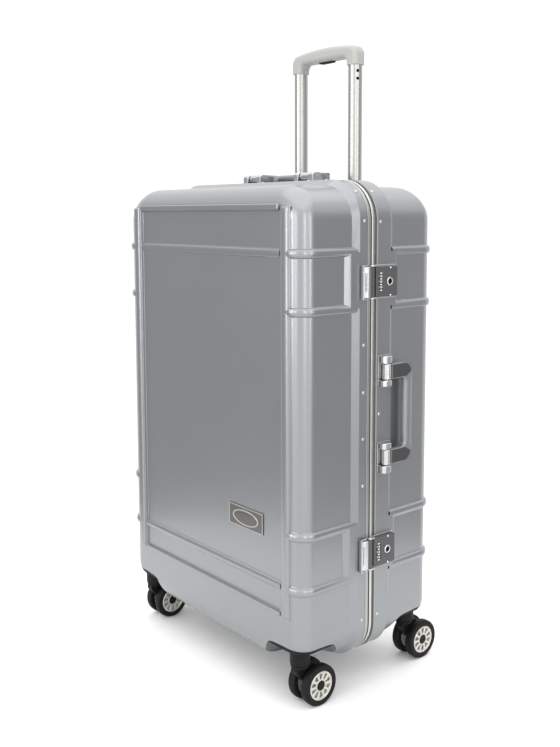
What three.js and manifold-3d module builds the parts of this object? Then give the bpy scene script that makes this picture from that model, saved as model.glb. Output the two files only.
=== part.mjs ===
// A large hard shell suitcase with an aluminium frame, on four twin-wheel casters.
// Units are millimetres. +Z is up, +X is the side with the locks, +Y is the back with the trolley.
// The design is laid out with y = 0 near the seam, and the whole group is shifted at the end so
// that the origin is at the middle of the footprint, on the floor.
import * as THREE from 'three';
import { mergeVertices } from 'three/addons/utils/BufferGeometryUtils.js';
import Module from 'manifold-3d';

const wasm = await Module();
wasm.setup();

// ---------------------------------------------------------------- driving dimensions

const gap = 0.3; // left between pieces that touch
const over = 1; // how far a cutting body reaches past what it cuts
const quarter = Math.PI / 2;

// Case: the flange level is the widest line. The shell's own surface lies `step` inside it, and at
// the top and bottom `endDrop` further in.
const halfWidth = 229.5;
const caseBottom = 47;
const caseTop = 767;
const frameCorner = 60;
const step = 4;
const endDrop = 5;
const wall = 2.4;
const root = 1.5; // how deep raised shapes reach into the wall they stand on
const frontFace = -135.5;
const backFace = 137;
const sideRound = 25; // edge radius at the left and right of the front and back faces
const endRound = 36; // edge radius at their top and bottom
const cornerSteps = 5;
const edgeSteps = 4;

// Frame: two aluminium rings that meet at the seam, each with a flange behind its shell
const frontFrame = { rim: -12, seam: -3.7, flange: -26 };
const backFrame = { rim: 7.5, seam: -3.3, flange: 35 };
const frameDepth = 8;
const flangeSkin = 2.5; // the shell's wall at the flange level, with the frame's flange behind it
const flangeThick = 3;
const sealGroove = { low: 2.5, high: 5.7, depth: 2.8 };
const sealRise = 0.1; // how far the seal stands out of the back frame

// Shell flanges, ribs and bars
const frontFlange = { edge: -27, foot: -40 };
const backFlange = { edge: 36.5, foot: 41 };
const ribHeights = [183.5, 263.5, 582.5, 663];
const rib = { half: 6, crown: 3.2, foot: 0.6, start: 2 };
const bar = { inner: 188, outer: 203.5, low: 139, high: 725, bevel: 3, foot: 0.5 };
const ridge = { rise: 2.4, ledge: 3 }; // on the front panel
const panel = { half: 187.4, low: 145, high: 722.5, depth: 2 };
const frontWall = 4.4;

// Casters
const caster = { x: 195.5, y: 112, trail: 24 };
const pocket = { mouth: 66, brim: 63, ceiling: 50, shoulder: 91, dome: 95, crown: 96, floor: 30 };
const mount = { plate: 89, boss: 18, floor: 66.3, inset: 1, seam: 20 };
const fork = { collar: 16, low: 61.8, crown: 63, toe: 57, nose: 12, brow: 14, hub: 9, bevel: 1.2 };
const stem = { radius: 6, foot: 64, top: 86, bore: 88, play: 0.4 };
const wheel = { radius: 30.6, width: 13.5, inner: 7, bore: 2.8, dish: 1.5, shoulder: 1.7, tyre: 10 };
const axle = { radius: 2.5, cap: 7 };

// Trolley
const tube = { x: 66.5, y: 122, radius: 10.8, bore: 9.4, top: 957.7, plug: 12, foot: 560, sides: 20 };
const guide = { radius: 12.2, bore: 11.2, foot: 330, floor: 3, top: 721.5 };
const bezel = { half: 86, front: 106, back: 136.5, low: 722, high: 765.5 };
const grip = { half: 79, opening: 54, foot: 958, bar: 968.5, top: 994.5, depth: 25,
  outerRound: 18, innerRound: 9, edge: 5 };
const button = { half: 16, front: 117, back: 127, low: 966, high: 973, pocketTop: 976.5, play: 0.4 };

// Locks, at two heights on the +X side. Distances along run from the seam towards the back.
const lockHeights = { upper: 619.5, lower: 216 };
const lock = { front: -3, back: 43, half: 24.5, top: 8, ear: 2.2, earFront: -12, earTop: 8.6 };
const lever = { pivot: -8, rise: 5, tip: -25, low: 3.2, top: 8.4,
  pin: 1.6, bore: 1.9, knuckle: 3.4, play: 0.4 };
const dial = { along: 7.5, rise: 4.9, radius: 4, half: 2.8, pitch: 8, bore: 1.6, spindle: 1.2, play: 0.6 };
const key = { along: 26, radius: 5, low: 0.9, top: 9, slot: 0.8, slotHalf: 3, slotDepth: 2 };
const catchPlate = { front: -27.5, lip: -25.8, back: -12.5, half: 25, top: 2.8, lipTop: 7 };

// Carrying handles: one on the +X side, one on top
const sideHandleHeight = 423;
const bail = { pivot: 20, rise: 9, low: 3, top: 15, outer: 72, inner: 54, half: 76, arm: 24,
  outerRound: 24, innerRound: 8, edge: 2.5, knuckle: 6.6, bore: 2.9 };
const lug = { front: 9, back: 36, half: 88, foot: 42, base: 2, top: 15.5, earBack: 32, pin: 2.5, play: 0.5 };

// Hinges, on the -X side opposite the locks
const hinge = { x: -234.5, y: -3.5, knuckle: 4, pin: 1.9, bore: 2.3, half: 35, middle: 11.5, play: 0.5 };
const leaf = { thick: 2, reach: 24, clear: 3.5 };

// Inside
const lining = { inset: 4.7, thick: 1.5, rim: 2, behind: 1.7, room: 1 };
const strap = { width: 30, thick: 1.5, y: 101, half: 205, rise: 175, z: 425 };

const plate = { left: 57, right: 139, low: 247, high: 279.5, thick: 2.4 };

// ---------------------------------------------------------------- materials

const finish = (color, roughness, metalness) =>
  () => new THREE.MeshStandardMaterial({ color, roughness, metalness });
const shellPlastic = finish('#8f9497', 0.35, 0.35);
const aluminium = finish('#c9c8c4', 0.3, 0.9);
const lockMetal = finish('#b9bbbd', 0.25, 0.9);
const lockPlate = finish('#6b6c6e', 0.5, 0.7);
const handleMetal = finish('#a3a6a8', 0.35, 0.8);
const gripPlastic = finish('#c9cac6', 0.5, 0);
const blackPlastic = finish('#1d1d1f', 0.55, 0);
const tyreRubber = finish('#17171a', 0.8, 0);
const sealRubber = finish('#2a2a2c', 0.8, 0);
const liningCloth = finish('#4b4d52', 0.9, 0);
const strapWeb = finish('#2c2d30', 0.9, 0);
const plateMetal = finish('#b2ada6', 0.4, 0.8);
const hingeSteel = finish('#9b9d9f', 0.35, 0.9);
const dialPlastic = finish('#d8d8d4', 0.5, 0);

// ---------------------------------------------------------------- geometry helpers

/** Closes a stack of rings with the same number of points into one body that faces out. */
function loft(rings, loop = false) {
  const count = rings[0].length;
  const points = rings.flat();
  const faces = [];
  const spans = loop ? rings.length : rings.length - 1;
  for (let k = 0; k < spans; k++) {
    const a = k * count;
    const b = ((k + 1) % rings.length) * count;
    for (let i = 0; i < count; i++) {
      const j = (i + 1) % count;
      faces.push(a + i, a + j, b + j, a + i, b + j, b + i);
    }
  }
  if (!loop) {
    const last = (rings.length - 1) * count;
    const centre = (ring) => ring.reduce((sum, p) => sum.add(p), new THREE.Vector3()).divideScalar(count);
    points.push(centre(rings[0]), centre(rings[rings.length - 1]));
    for (let i = 0; i < count; i++) {
      const j = (i + 1) % count;
      faces.push(j, i, points.length - 2, last + i, last + j, points.length - 1);
    }
  }
  const geometry = new THREE.BufferGeometry().setFromPoints(points);
  geometry.setIndex(faces);
  return faceOut(geometry);
}

/** Turns every face round if the body is inside out. */
function faceOut(geometry) {
  const at = geometry.attributes.position;
  const index = geometry.index.array;
  const [a, b, c] = [new THREE.Vector3(), new THREE.Vector3(), new THREE.Vector3()];
  let volume = 0;
  for (let i = 0; i < index.length; i += 3) {
    a.fromBufferAttribute(at, index[i]);
    b.fromBufferAttribute(at, index[i + 1]);
    c.fromBufferAttribute(at, index[i + 2]);
    volume += a.dot(b.cross(c));
  }
  if (volume < 0) geometry.setIndex(Array.from(index).reverse());
  return geometry;
}

function toManifold(geometry) {
  const bare = geometry.clone();
  bare.deleteAttribute('normal');
  bare.deleteAttribute('uv');
  const merged = mergeVertices(bare, 1e-4);
  return new wasm.Manifold(new wasm.Mesh({
    numProp: 3,
    vertProperties: new Float32Array(merged.attributes.position.array),
    triVerts: new Uint32Array(merged.index.array),
  }));
}

function toGeometry(solid) {
  const mesh = solid.getMesh();
  const geometry = new THREE.BufferGeometry();
  geometry.setAttribute('position', new THREE.BufferAttribute(mesh.vertProperties, 3));
  geometry.setIndex(new THREE.BufferAttribute(mesh.triVerts, 1));
  return geometry;
}

const combine = (how, first, others) =>
  toGeometry(others.reduce((solid, other) => solid[how](toManifold(other)), toManifold(first)));
const join = (first, ...others) => combine('add', first, others);
const cut = (first, ...others) => combine('subtract', first, others);
const meet = (first, ...others) => combine('intersect', first, others);

function block(x0, x1, y0, y1, z0, z1) {
  const geometry = new THREE.BoxGeometry(x1 - x0, y1 - y0, z1 - z0);
  return geometry.translate((x0 + x1) / 2, (y0 + y1) / 2, (z0 + z1) / 2);
}

/** A round bar along 'x', 'y' or 'z', from one end to the other, at the other two coordinates. */
function rod(axis, radius, from, to, at, sides = 16) {
  const geometry = new THREE.CylinderGeometry(radius, radius, to - from, sides);
  geometry.translate(0, (from + to) / 2, 0);
  if (axis === 'x') return geometry.rotateZ(-quarter).translate(0, at[0], at[1]);
  if (axis === 'z') return geometry.rotateX(quarter).translate(at[0], at[1], 0);
  return geometry.translate(at[0], 0, at[1]);
}

/** A body turned about the Z axis, from [radius, height] points. */
function turned(profile, sides) {
  const points = profile.map(([r, z]) => new THREE.Vector2(r, z));
  return new THREE.LatheGeometry(points, sides).rotateX(quarter);
}

/** An outline extruded to a thickness, with its edges bevelled. */
function slab(shape, thickness, bevel, curveSegments = 4) {
  const geometry = new THREE.ExtrudeGeometry(shape, {
    depth: thickness - 2 * bevel,
    bevelEnabled: bevel > 0,
    bevelThickness: bevel,
    bevelSize: bevel,
    bevelOffset: -bevel,
    bevelSegments: 1,
    curveSegments,
  });
  return geometry.translate(0, 0, bevel);
}

const group = new THREE.Group();

function add(name, geometry, material, parent = group) {
  const mesh = new THREE.Mesh(geometry, material());
  mesh.name = name;
  parent.add(mesh);
  return mesh;
}

// ---------------------------------------------------------------- the case's surfaces

/** Points of the case's outline at an inset from the flange level; `place` turns each corner
 *  centre and corner angle into a point. */
function outline(place) {
  const points = [];
  const cx = halfWidth - frameCorner;
  const corners = [[cx, caseTop], [-cx, caseTop], [-cx, caseBottom], [cx, caseBottom]];
  corners.forEach(([x, end], quadrant) => {
    const z = end === caseTop ? caseTop - frameCorner : caseBottom + frameCorner;
    for (let i = 0; i <= cornerSteps; i++) {
      points.push(place(x, z, (quadrant + i / cornerSteps) * quarter));
    }
  });
  return points;
}

function flatRing(inset, y, drop = 0) {
  const across = frameCorner - inset;
  const up = across - drop;
  return outline((x, z, angle) =>
    new THREE.Vector3(x + across * Math.cos(angle), y, z + up * Math.sin(angle)));
}

/** A ring part of the way round the edge between the case's sides and a face. */
function edgeRing(inset, face, turn) {
  const side = Math.sign(face);
  const sideRadius = sideRound + step - inset;
  const endRadius = endRound + step - inset;
  const back = 1 - Math.cos(turn);
  const across = frameCorner - inset - sideRadius * back;
  const up = frameCorner - inset - endDrop - endRadius * back;
  return outline((x, z, angle) => {
    const radius = sideRadius * Math.cos(angle) ** 2 + endRadius * Math.sin(angle) ** 2;
    const y = face - side * radius * (1 - Math.sin(turn));
    return new THREE.Vector3(x + across * Math.cos(angle), y, z + up * Math.sin(angle));
  });
}

function edgeRings(inset, face) {
  return Array.from({ length: edgeSteps + 1 }, (_, i) => edgeRing(inset, face, (i / edgeSteps) * quarter));
}

/** The filled shape of one half, from `rim` to `face`, at an inset from the flange level. */
const core = (inset, rim, face) => loft([flatRing(inset, rim, endDrop), ...edgeRings(inset, face)]);

/** A closed profile of [inset, y] points carried round the case. */
const hoop = (profile) => loft(profile.map(([inset, y]) => flatRing(inset, y)), true);

// ---------------------------------------------------------------- shells

/** A raised half-round rib from the flange, round the vertical edge, to the bar on the face. */
function sideRib(side, face, foot, height) {
  const facing = Math.sign(face);
  const lower = [[-root, -rib.half], [rib.foot, -rib.half], [step, -rib.crown]];
  const section = [...lower, ...lower.map(([out, along]) => [out, -along]).reverse()];
  const surface = halfWidth - step;
  const centre = { x: surface - sideRound, y: face - facing * sideRound };
  const stations = [{ x: surface, y: foot, angle: 0 }];
  for (let i = 0; i <= edgeSteps; i++) {
    const angle = (i / edgeSteps) * quarter;
    const x = centre.x + sideRound * Math.cos(angle);
    stations.push({ x, y: centre.y + facing * sideRound * Math.sin(angle), angle });
  }
  stations.push({ x: bar.inner + rib.half, y: face, angle: quarter });
  return loft(stations.map(({ x, y, angle }) => section.map(([out, along]) => new THREE.Vector3(
    side * (x + out * Math.cos(angle)),
    y + facing * out * Math.sin(angle),
    height + along,
  ))));
}

/** An upright bar with bevelled edges on the front or back face. */
function uprightBar(side, face) {
  const facing = Math.sign(face);
  const ring = (out, narrower) => {
    const [x0, x1] = [bar.inner + narrower, bar.outer - narrower];
    const [z0, z1] = [bar.low + narrower, bar.high - narrower];
    return [[x0, z0], [x1, z0], [x1, z1], [x0, z1]].map(([x, z]) =>
      new THREE.Vector3(side * x, face + facing * out, z));
  };
  return loft([ring(-root, 0), ring(bar.foot, 0), ring(step, bar.bevel)]);
}

/** A low ridge across the front, from bar to bar. */
function crossBar(face, height, half) {
  const lower = [[-root, -half], [0, -half], [ridge.rise, -half / 2]];
  const section = [...lower, ...lower.map(([out, along]) => [out, -along]).reverse()];
  const reach = bar.inner + rib.start;
  return loft([-reach, reach].map((x) => section.map(([out, along]) =>
    new THREE.Vector3(x, face - out, height + along))));
}

/** The corner pocket for a caster: a drum under a cone with a low dome, grown by `grow`. */
function pocketBody(x, y, grow) {
  const { floor, mouth, brim, ceiling, shoulder, dome, crown } = pocket;
  const profile = [
    [0, floor],
    [mouth + grow, floor],
    [mouth + grow, brim + grow / 2],
    [ceiling + grow, shoulder + grow],
    [ceiling / 2, dome + grow],
    [0, crown + grow],
  ];
  return turned(profile, 24).translate(x, y, 0);
}

const skin = 0.2; // what the caster pockets' walls leave of the shell's surface

/** One half of the case as a cup with a stepped flange, ribs and bars, and caster pockets. */
function shell(rim, flange, face, innerFace) {
  const side = Math.sign(face);
  const inside = step + wall;
  const cup = loft([
    ...edgeRings(inside, innerFace).reverse(),
    flatRing(inside, flange.foot, endDrop),
    flatRing(flangeSkin, flange.edge),
    flatRing(flangeSkin, rim),
    flatRing(0, rim),
    flatRing(0, flange.edge),
    flatRing(step, flange.foot, endDrop),
    ...edgeRings(step, face),
  ]);
  const raised = [];
  for (const x of [-1, 1]) {
    raised.push(uprightBar(x, face));
    for (const height of ribHeights) raised.push(sideRib(x, face, flange.foot - side * rib.start, height));
  }
  const filled = core(step + skin, rim, face - side * skin);
  const pocketAt = (x, grow) => pocketBody(x * caster.x, side * caster.y, grow);
  const pocketWalls = [-1, 1].map((x) => meet(pocketAt(x, wall), filled));
  return cut(join(cup, ...raised, ...pocketWalls), pocketAt(-1, 0), pocketAt(1, 0));
}

const panelFace = frontFace + panel.depth;
const panelRecess = block(-panel.half, panel.half, frontFace - over, panelFace, panel.low, panel.high);
const frontShell = join(
  cut(shell(frontFrame.rim - gap, frontFlange, frontFace, frontFace + frontWall), panelRecess),
  crossBar(panelFace, ribHeights[0], rib.half),
  crossBar(panelFace, ribHeights[3], rib.half),
  crossBar(frontFace, bar.low + ridge.ledge, ridge.ledge),
);
add('front_shell', frontShell, shellPlastic);

const bezelRoom = block(-bezel.half - gap, bezel.half + gap, bezel.front - gap, backFace + step + over,
  bezel.low - gap, caseTop + over);
const backShell = shell(backFrame.rim + gap, backFlange, backFace, backFace - wall);
add('back_shell', cut(backShell, bezelRoom), shellPlastic);

// ---------------------------------------------------------------- frame and seal

const flangeOut = flangeSkin + gap;
const flangeIn = flangeOut + flangeThick;
add('front_frame', hoop([
  [0, frontFrame.seam],
  [0, frontFrame.rim],
  [flangeOut, frontFrame.rim],
  [flangeOut, frontFrame.flange],
  [flangeIn, frontFrame.flange],
  [frameDepth, frontFrame.rim],
  [frameDepth, frontFrame.seam],
]), aluminium);
const grooveFloor = backFrame.seam + sealGroove.depth;
add('back_frame', hoop([
  [0, backFrame.seam],
  [0, backFrame.rim],
  [flangeOut, backFrame.rim],
  [flangeOut, backFrame.flange],
  [flangeIn, backFrame.flange],
  [frameDepth, backFrame.rim],
  [frameDepth, backFrame.seam],
  [sealGroove.high, backFrame.seam],
  [sealGroove.high, grooveFloor],
  [sealGroove.low, grooveFloor],
  [sealGroove.low, backFrame.seam],
]), aluminium);
add('frame_seal', hoop([
  [sealGroove.low + gap, grooveFloor - gap],
  [sealGroove.high - gap, grooveFloor - gap],
  [sealGroove.high - gap, backFrame.seam - sealRise],
  [sealGroove.low + gap, backFrame.seam - sealRise],
]), sealRubber);

// ---------------------------------------------------------------- lining and strap

/** A cloth tray inside one half. `rooms` are spaces it goes round, each a function of how much
 *  the space grows. */
function clothTray(rim, face, rooms) {
  const side = Math.sign(face);
  const outer = step + lining.inset;
  const solid = cut(core(outer, rim, face), ...rooms.map((room) => room(0)));
  const hollow = cut(
    core(outer + lining.thick, rim - side * over, face - side * lining.thick),
    ...rooms.map((room) => room(lining.thick)),
  );
  return cut(solid, hollow);
}

const casterRooms = (side) =>
  [-1, 1].map((x) => (grow) => pocketBody(x * caster.x, side * caster.y, wall + lining.room + grow));
const frontTray = clothTray(
  frontFrame.rim - lining.rim,
  frontFace + frontWall + lining.behind,
  casterRooms(-1),
);
add('front_lining', frontTray, liningCloth);

const guideRoom = (x) => (grow) => {
  const half = guide.radius + lining.room + grow;
  return block(x - half, x + half, tube.y - half, backFace + step, guide.foot - lining.room - grow, caseTop);
};
const bezelSpace = (grow) => {
  const room = lining.room + grow;
  return block(-bezel.half - room, bezel.half + room, bezel.front - room, backFace + step,
    bezel.low - room, caseTop + step);
};
add('back_lining', clothTray(backFrame.rim + lining.rim, backFace - wall - lining.behind, [
  ...casterRooms(1),
  guideRoom(-tube.x),
  guideRoom(tube.x),
  bezelSpace,
]), liningCloth);

const strapLength = 2 * Math.hypot(strap.half, strap.rise);
const strapTilt = Math.atan2(strap.rise, strap.half);
const strapArm = (turn) => new THREE.BoxGeometry(strapLength, strap.thick, strap.width)
  .rotateY(turn)
  .translate(0, strap.y + strap.thick / 2, strap.z);
add('packing_strap', join(strapArm(strapTilt), strapArm(-strapTilt)), strapWeb);

// ---------------------------------------------------------------- name plate

add('name_plate', block(plate.left, plate.right, panelFace - gap - plate.thick, panelFace - gap,
  plate.low, plate.high), plateMetal);

// ---------------------------------------------------------------- trolley

for (const [name, side] of [['left', -1], ['right', 1]]) {
  const at = [side * tube.x, tube.y];
  add(`trolley_guide_${name}`, cut(
    rod('z', guide.radius, guide.foot, guide.top, at, tube.sides),
    rod('z', guide.bore, guide.foot + guide.floor, guide.top + over, at, tube.sides),
  ), aluminium);
  add(`trolley_tube_${name}`, cut(
    rod('z', tube.radius, tube.foot, tube.top, at, tube.sides),
    rod('z', tube.bore, tube.foot - over, tube.top - tube.plug, at, tube.sides),
  ), aluminium);
}

const tubeBore = (side) =>
  rod('z', guide.bore, bezel.low - over, bezel.high + over, [side * tube.x, tube.y], tube.sides);
add('trolley_bezel', cut(
  block(-bezel.half, bezel.half, bezel.front, bezel.back, bezel.low, bezel.high),
  tubeBore(-1),
  tubeBore(1),
), blackPlastic);

function gripShape() {
  const { half, opening, foot, top, outerRound, innerRound } = grip;
  return new THREE.Shape()
    .moveTo(-half, foot)
    .lineTo(-opening, foot)
    .lineTo(-opening, grip.bar - innerRound)
    .quadraticCurveTo(-opening, grip.bar, -opening + innerRound, grip.bar)
    .lineTo(opening - innerRound, grip.bar)
    .quadraticCurveTo(opening, grip.bar, opening, grip.bar - innerRound)
    .lineTo(opening, foot)
    .lineTo(half, foot)
    .lineTo(half, top - outerRound)
    .quadraticCurveTo(half, top, half - outerRound, top)
    .lineTo(-half + outerRound, top)
    .quadraticCurveTo(-half, top, -half, top - outerRound);
}

const gripBody = slab(gripShape(), grip.depth, grip.edge, 4)
  .rotateX(quarter)
  .translate(0, tube.y + grip.depth / 2, 0);
const buttonRoom = block(
  -button.half - button.play,
  button.half + button.play,
  button.front - button.play,
  button.back + button.play,
  grip.bar - over,
  button.pocketTop,
);
add('trolley_grip', cut(gripBody, buttonRoom), gripPlastic);
add('release_button', block(-button.half, button.half, button.front, button.back, button.low, button.high),
  blackPlastic);

// ---------------------------------------------------------------- pieces on the case's sides

/** A group whose X runs from the seam to the back and whose Z stands out of the case. */
function surfaceFrame(position, along, out) {
  const back = new THREE.Vector3(0, 1, 0);
  const frame = new THREE.Group();
  frame.quaternion.setFromRotationMatrix(new THREE.Matrix4().makeBasis(back, along, out));
  frame.position.copy(position);
  group.add(frame);
  return frame;
}

function addLock(name, height) {
  const frame = surfaceFrame(new THREE.Vector3(halfWidth, 0, height),
    new THREE.Vector3(0, 0, 1), new THREE.Vector3(1, 0, 0));
  const dialAt = [dial.pitch, 0, -dial.pitch];
  const slotHalf = dial.radius + dial.play;
  const slots = dialAt.map((y) => block(dial.along - slotHalf, dial.along + slotHalf,
    y - dial.half - gap, y + dial.half + gap, 0, lock.top + over));
  const ears = [-1, 1].map((side) => {
    const half = lock.ear / 2;
    const middle = side * (lock.half - half);
    return block(lock.earFront, lock.front + over, middle - half, middle + half, gap, lock.earTop);
  });
  const body = cut(
    join(block(lock.front, lock.back, -lock.half, lock.half, gap, lock.top), ...ears),
    ...slots,
    rod('z', key.radius + gap, 0, lock.top + over, [key.along, 0]),
  );
  add(`${name}_lock_body`, join(
    body,
    rod('y', lever.pin, -lock.half + over, lock.half - over, [lever.pivot, lever.rise], 10),
    rod('y', dial.spindle, -dial.pitch * 2, dial.pitch * 2, [dial.along, dial.rise], 8),
  ), lockPlate, frame);
  const leverHalf = lock.half - lock.ear - lever.play;
  add(`${name}_lock_lever`, cut(
    join(
      block(lever.tip, lever.pivot, -leverHalf, leverHalf, lever.low, lever.top),
      rod('y', lever.knuckle, -leverHalf, leverHalf, [lever.pivot, lever.rise], 12),
    ),
    rod('y', lever.bore, -lock.half, lock.half, [lever.pivot, lever.rise], 12),
  ), lockMetal, frame);
  dialAt.forEach((y, i) => {
    const disc = turned([[dial.bore, -dial.half], [dial.radius, -dial.half], [dial.radius, dial.half],
      [dial.bore, dial.half], [dial.bore, -dial.half]], 12);
    add(`${name}_dial_${i + 1}`, disc.rotateX(quarter).translate(dial.along, y, dial.rise), dialPlastic, frame);
  });
  add(`${name}_key_cylinder`, cut(
    rod('z', key.radius, key.low, key.top, [key.along, 0]),
    block(key.along - key.slot, key.along + key.slot, -key.slotHalf, key.slotHalf,
      key.top - key.slotDepth, key.top + over),
  ), lockMetal, frame);
  add(`${name}_catch`, join(
    block(catchPlate.front, catchPlate.back, -catchPlate.half, catchPlate.half, gap, catchPlate.top),
    block(catchPlate.front, catchPlate.lip, -catchPlate.half, catchPlate.half, gap, catchPlate.lipTop),
  ), lockMetal, frame);
}
addLock('upper', lockHeights.upper);
addLock('lower', lockHeights.lower);

function bailShape() {
  const { outer, inner, half, arm, pivot, outerRound: round, innerRound: inside } = bail;
  const open = half - arm;
  return new THREE.Shape()
    .moveTo(pivot, -half)
    .lineTo(outer - round, -half)
    .quadraticCurveTo(outer, -half, outer, -half + round)
    .lineTo(outer, half - round)
    .quadraticCurveTo(outer, half, outer - round, half)
    .lineTo(pivot, half)
    .lineTo(pivot, open)
    .lineTo(inner - inside, open)
    .quadraticCurveTo(inner, open, inner, open - inside)
    .lineTo(inner, -open + inside)
    .quadraticCurveTo(inner, -open, inner - inside, -open)
    .lineTo(pivot, -open);
}

function addHandle(name, ends, position, along, out) {
  const frame = surfaceFrame(position, along, out);
  const at = [bail.pivot, bail.rise];
  const open = bail.half - bail.arm;
  const arms = slab(bailShape(), bail.top - bail.low, bail.edge, 3).translate(0, 0, bail.low);
  const knuckle = (from, to) => rod('y', bail.knuckle, from, to, at, 14);
  add(`${name}_bail`, cut(
    join(arms, knuckle(open, bail.half), knuckle(-bail.half, -open)),
    rod('y', bail.bore, -bail.half - over, bail.half + over, at, 12),
  ), handleMetal, frame);
  ends.forEach((end, i) => {
    const side = i ? -1 : 1;
    const span = (y0, y1) => (side > 0 ? [y0, y1] : [-y1, -y0]);
    const piece = (x1, y0, y1, z1) => block(lug.front, x1, ...span(y0, y1), gap, z1);
    add(`${name}_lug_${end}`, join(
      piece(lug.back, lug.foot, lug.half, lug.base),
      piece(lug.earBack, lug.foot, open - lug.play, lug.top),
      piece(lug.earBack, bail.half + lug.play, lug.half, lug.top),
      rod('y', lug.pin, ...span(lug.foot + over, lug.half - over), at, 12),
    ), lockMetal, frame);
  });
}
addHandle('side_handle', ['upper', 'lower'], new THREE.Vector3(halfWidth, 0, sideHandleHeight),
  new THREE.Vector3(0, 0, 1), new THREE.Vector3(1, 0, 0));
addHandle('top_handle', ['left', 'right'], new THREE.Vector3(0, 0, caseTop),
  new THREE.Vector3(-1, 0, 0), new THREE.Vector3(0, 0, 1));

// ---------------------------------------------------------------- hinges

for (const [name, height] of Object.entries(lockHeights)) {
  const side = -halfWidth - gap;
  const at = [hinge.x, hinge.y];
  const [low, high] = [height - hinge.half, height + hinge.half];
  const [middleLow, middleHigh] = [height - hinge.middle, height + hinge.middle];
  const shut = hinge.y - leaf.clear;
  add(`${name}_hinge_front`, cut(
    join(
      block(side - leaf.thick, side, shut - leaf.reach, shut, low, high),
      block(side - leaf.thick, side, shut - over, hinge.y - hinge.play, middleLow, middleHigh),
      rod('z', hinge.knuckle, middleLow, middleHigh, at),
    ),
    rod('z', hinge.bore, low, high, at, 12),
  ), hingeSteel);
  const knuckles = [[low, middleLow - hinge.play], [middleHigh + hinge.play, high]];
  add(`${name}_hinge_back`, join(
    block(side - leaf.thick, side, hinge.y + leaf.clear, hinge.y + leaf.clear + leaf.reach, low, high),
    ...knuckles.flatMap(([a, b]) => [
      block(side - leaf.thick, side, hinge.y + hinge.play, hinge.y + leaf.clear + over, a, b),
      rod('z', hinge.knuckle, a, b, at),
    ]),
    rod('z', hinge.pin, low + over, high - over, at, 12),
  ), hingeSteel);
}

// ---------------------------------------------------------------- casters

/** The fork's web between the two wheels, seen from the side. */
function forkShape() {
  const [start, end] = [0.35, -2.4];
  const { hub, crown, toe, nose, brow } = fork;
  const [hubX, hubZ] = [caster.trail + hub * Math.cos(start), wheel.radius + hub * Math.sin(start)];
  return new THREE.Shape()
    .moveTo(-nose, crown)
    .lineTo(brow, crown)
    .quadraticCurveTo(hubX, toe, hubX, hubZ)
    .absarc(caster.trail, wheel.radius, hub, start, end, true)
    .quadraticCurveTo(0, wheel.radius + hub, -nose, toe);
}

function addCaster(name, side, facing) {
  const frame = new THREE.Group();
  frame.position.set(side * caster.x, facing * caster.y, 0);
  group.add(frame);

  const face = facing < 0 ? frontFace : backFace;
  const room = core(step + mount.inset, facing * mount.seam, face - facing * mount.inset);
  room.translate(-side * caster.x, -facing * caster.y, 0);
  const above = block(-caster.x, caster.x, -caster.y, caster.y, mount.plate, caseTop);
  const boss = rod('z', mount.boss, mount.floor, mount.plate + over, [0, 0], 20);
  add(`caster_mount_${name}`, cut(
    join(meet(pocketBody(0, 0, -gap), room, above), boss),
    rod('z', stem.radius + stem.play, mount.floor - over, stem.bore, [0, 0], 12),
  ), blackPlastic, frame);

  const webHalf = wheel.inner - gap;
  const web = slab(forkShape(), 2 * webHalf, fork.bevel, 4)
    .applyMatrix4(new THREE.Matrix4().makeBasis(
      new THREE.Vector3(0, 1, 0), new THREE.Vector3(0, 0, 1), new THREE.Vector3(1, 0, 0)))
    .translate(-webHalf, 0, 0);
  const axleAt = [caster.trail, wheel.radius];
  add(`caster_fork_${name}`, cut(
    join(
      web,
      rod('z', fork.collar, fork.low, mount.floor - gap, [0, 0], 20),
      rod('z', stem.radius, stem.foot, stem.top, [0, 0], 12),
    ),
    rod('x', axle.radius + gap, -webHalf - over, webHalf + over, axleAt, 12),
  ), blackPlastic, frame);

  const outerFace = wheel.inner + wheel.width;
  const capInner = outerFace - wheel.dish + gap;
  const halfAxle = [[axle.radius, capInner], [axle.cap, capInner], [axle.cap, outerFace], [0, outerFace]];
  const mirrored = halfAxle.map(([r, x]) => [r, -x]).reverse();
  add(`caster_axle_${name}`, turned([...mirrored, ...halfAxle], 12)
    .rotateY(quarter)
    .translate(0, axleAt[0], axleAt[1]), hingeSteel, frame);

  const { radius, width, bore, dish, shoulder } = wheel;
  const rim = radius - wheel.tyre;
  const profile = [
    [bore, 0],
    [radius - shoulder, 0],
    [radius, shoulder],
    [radius, width - shoulder],
    [radius - shoulder, width],
    [rim, width],
    [rim - over, width - dish],
    [bore, width - dish],
    [bore, 0],
  ];
  for (const [which, out] of [['a', -1], ['b', 1]]) {
    add(`wheel_${name}_${which}`, turned(profile, 16)
      .translate(0, 0, wheel.inner)
      .rotateY(out * quarter)
      .translate(0, axleAt[0], axleAt[1]), tyreRubber, frame);
  }
}
addCaster('front_left', -1, -1);
addCaster('front_right', 1, -1);
addCaster('back_left', -1, 1);
addCaster('back_right', 1, 1);

// ---------------------------------------------------------------- origin

const frontReach = frontFace - step;
const backReach = caster.y + caster.trail + wheel.radius;
group.position.set(0, -(frontReach + backReach) / 2, 0);

export default group;
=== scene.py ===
"""Looks of the hard shell suitcase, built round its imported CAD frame."""
from math import acos, atan2, copysign, cos, hypot, pi, radians, sin, tan, tau

import bmesh
import bpy
import numpy as np
from mathutils import Matrix, Vector, noise

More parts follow.
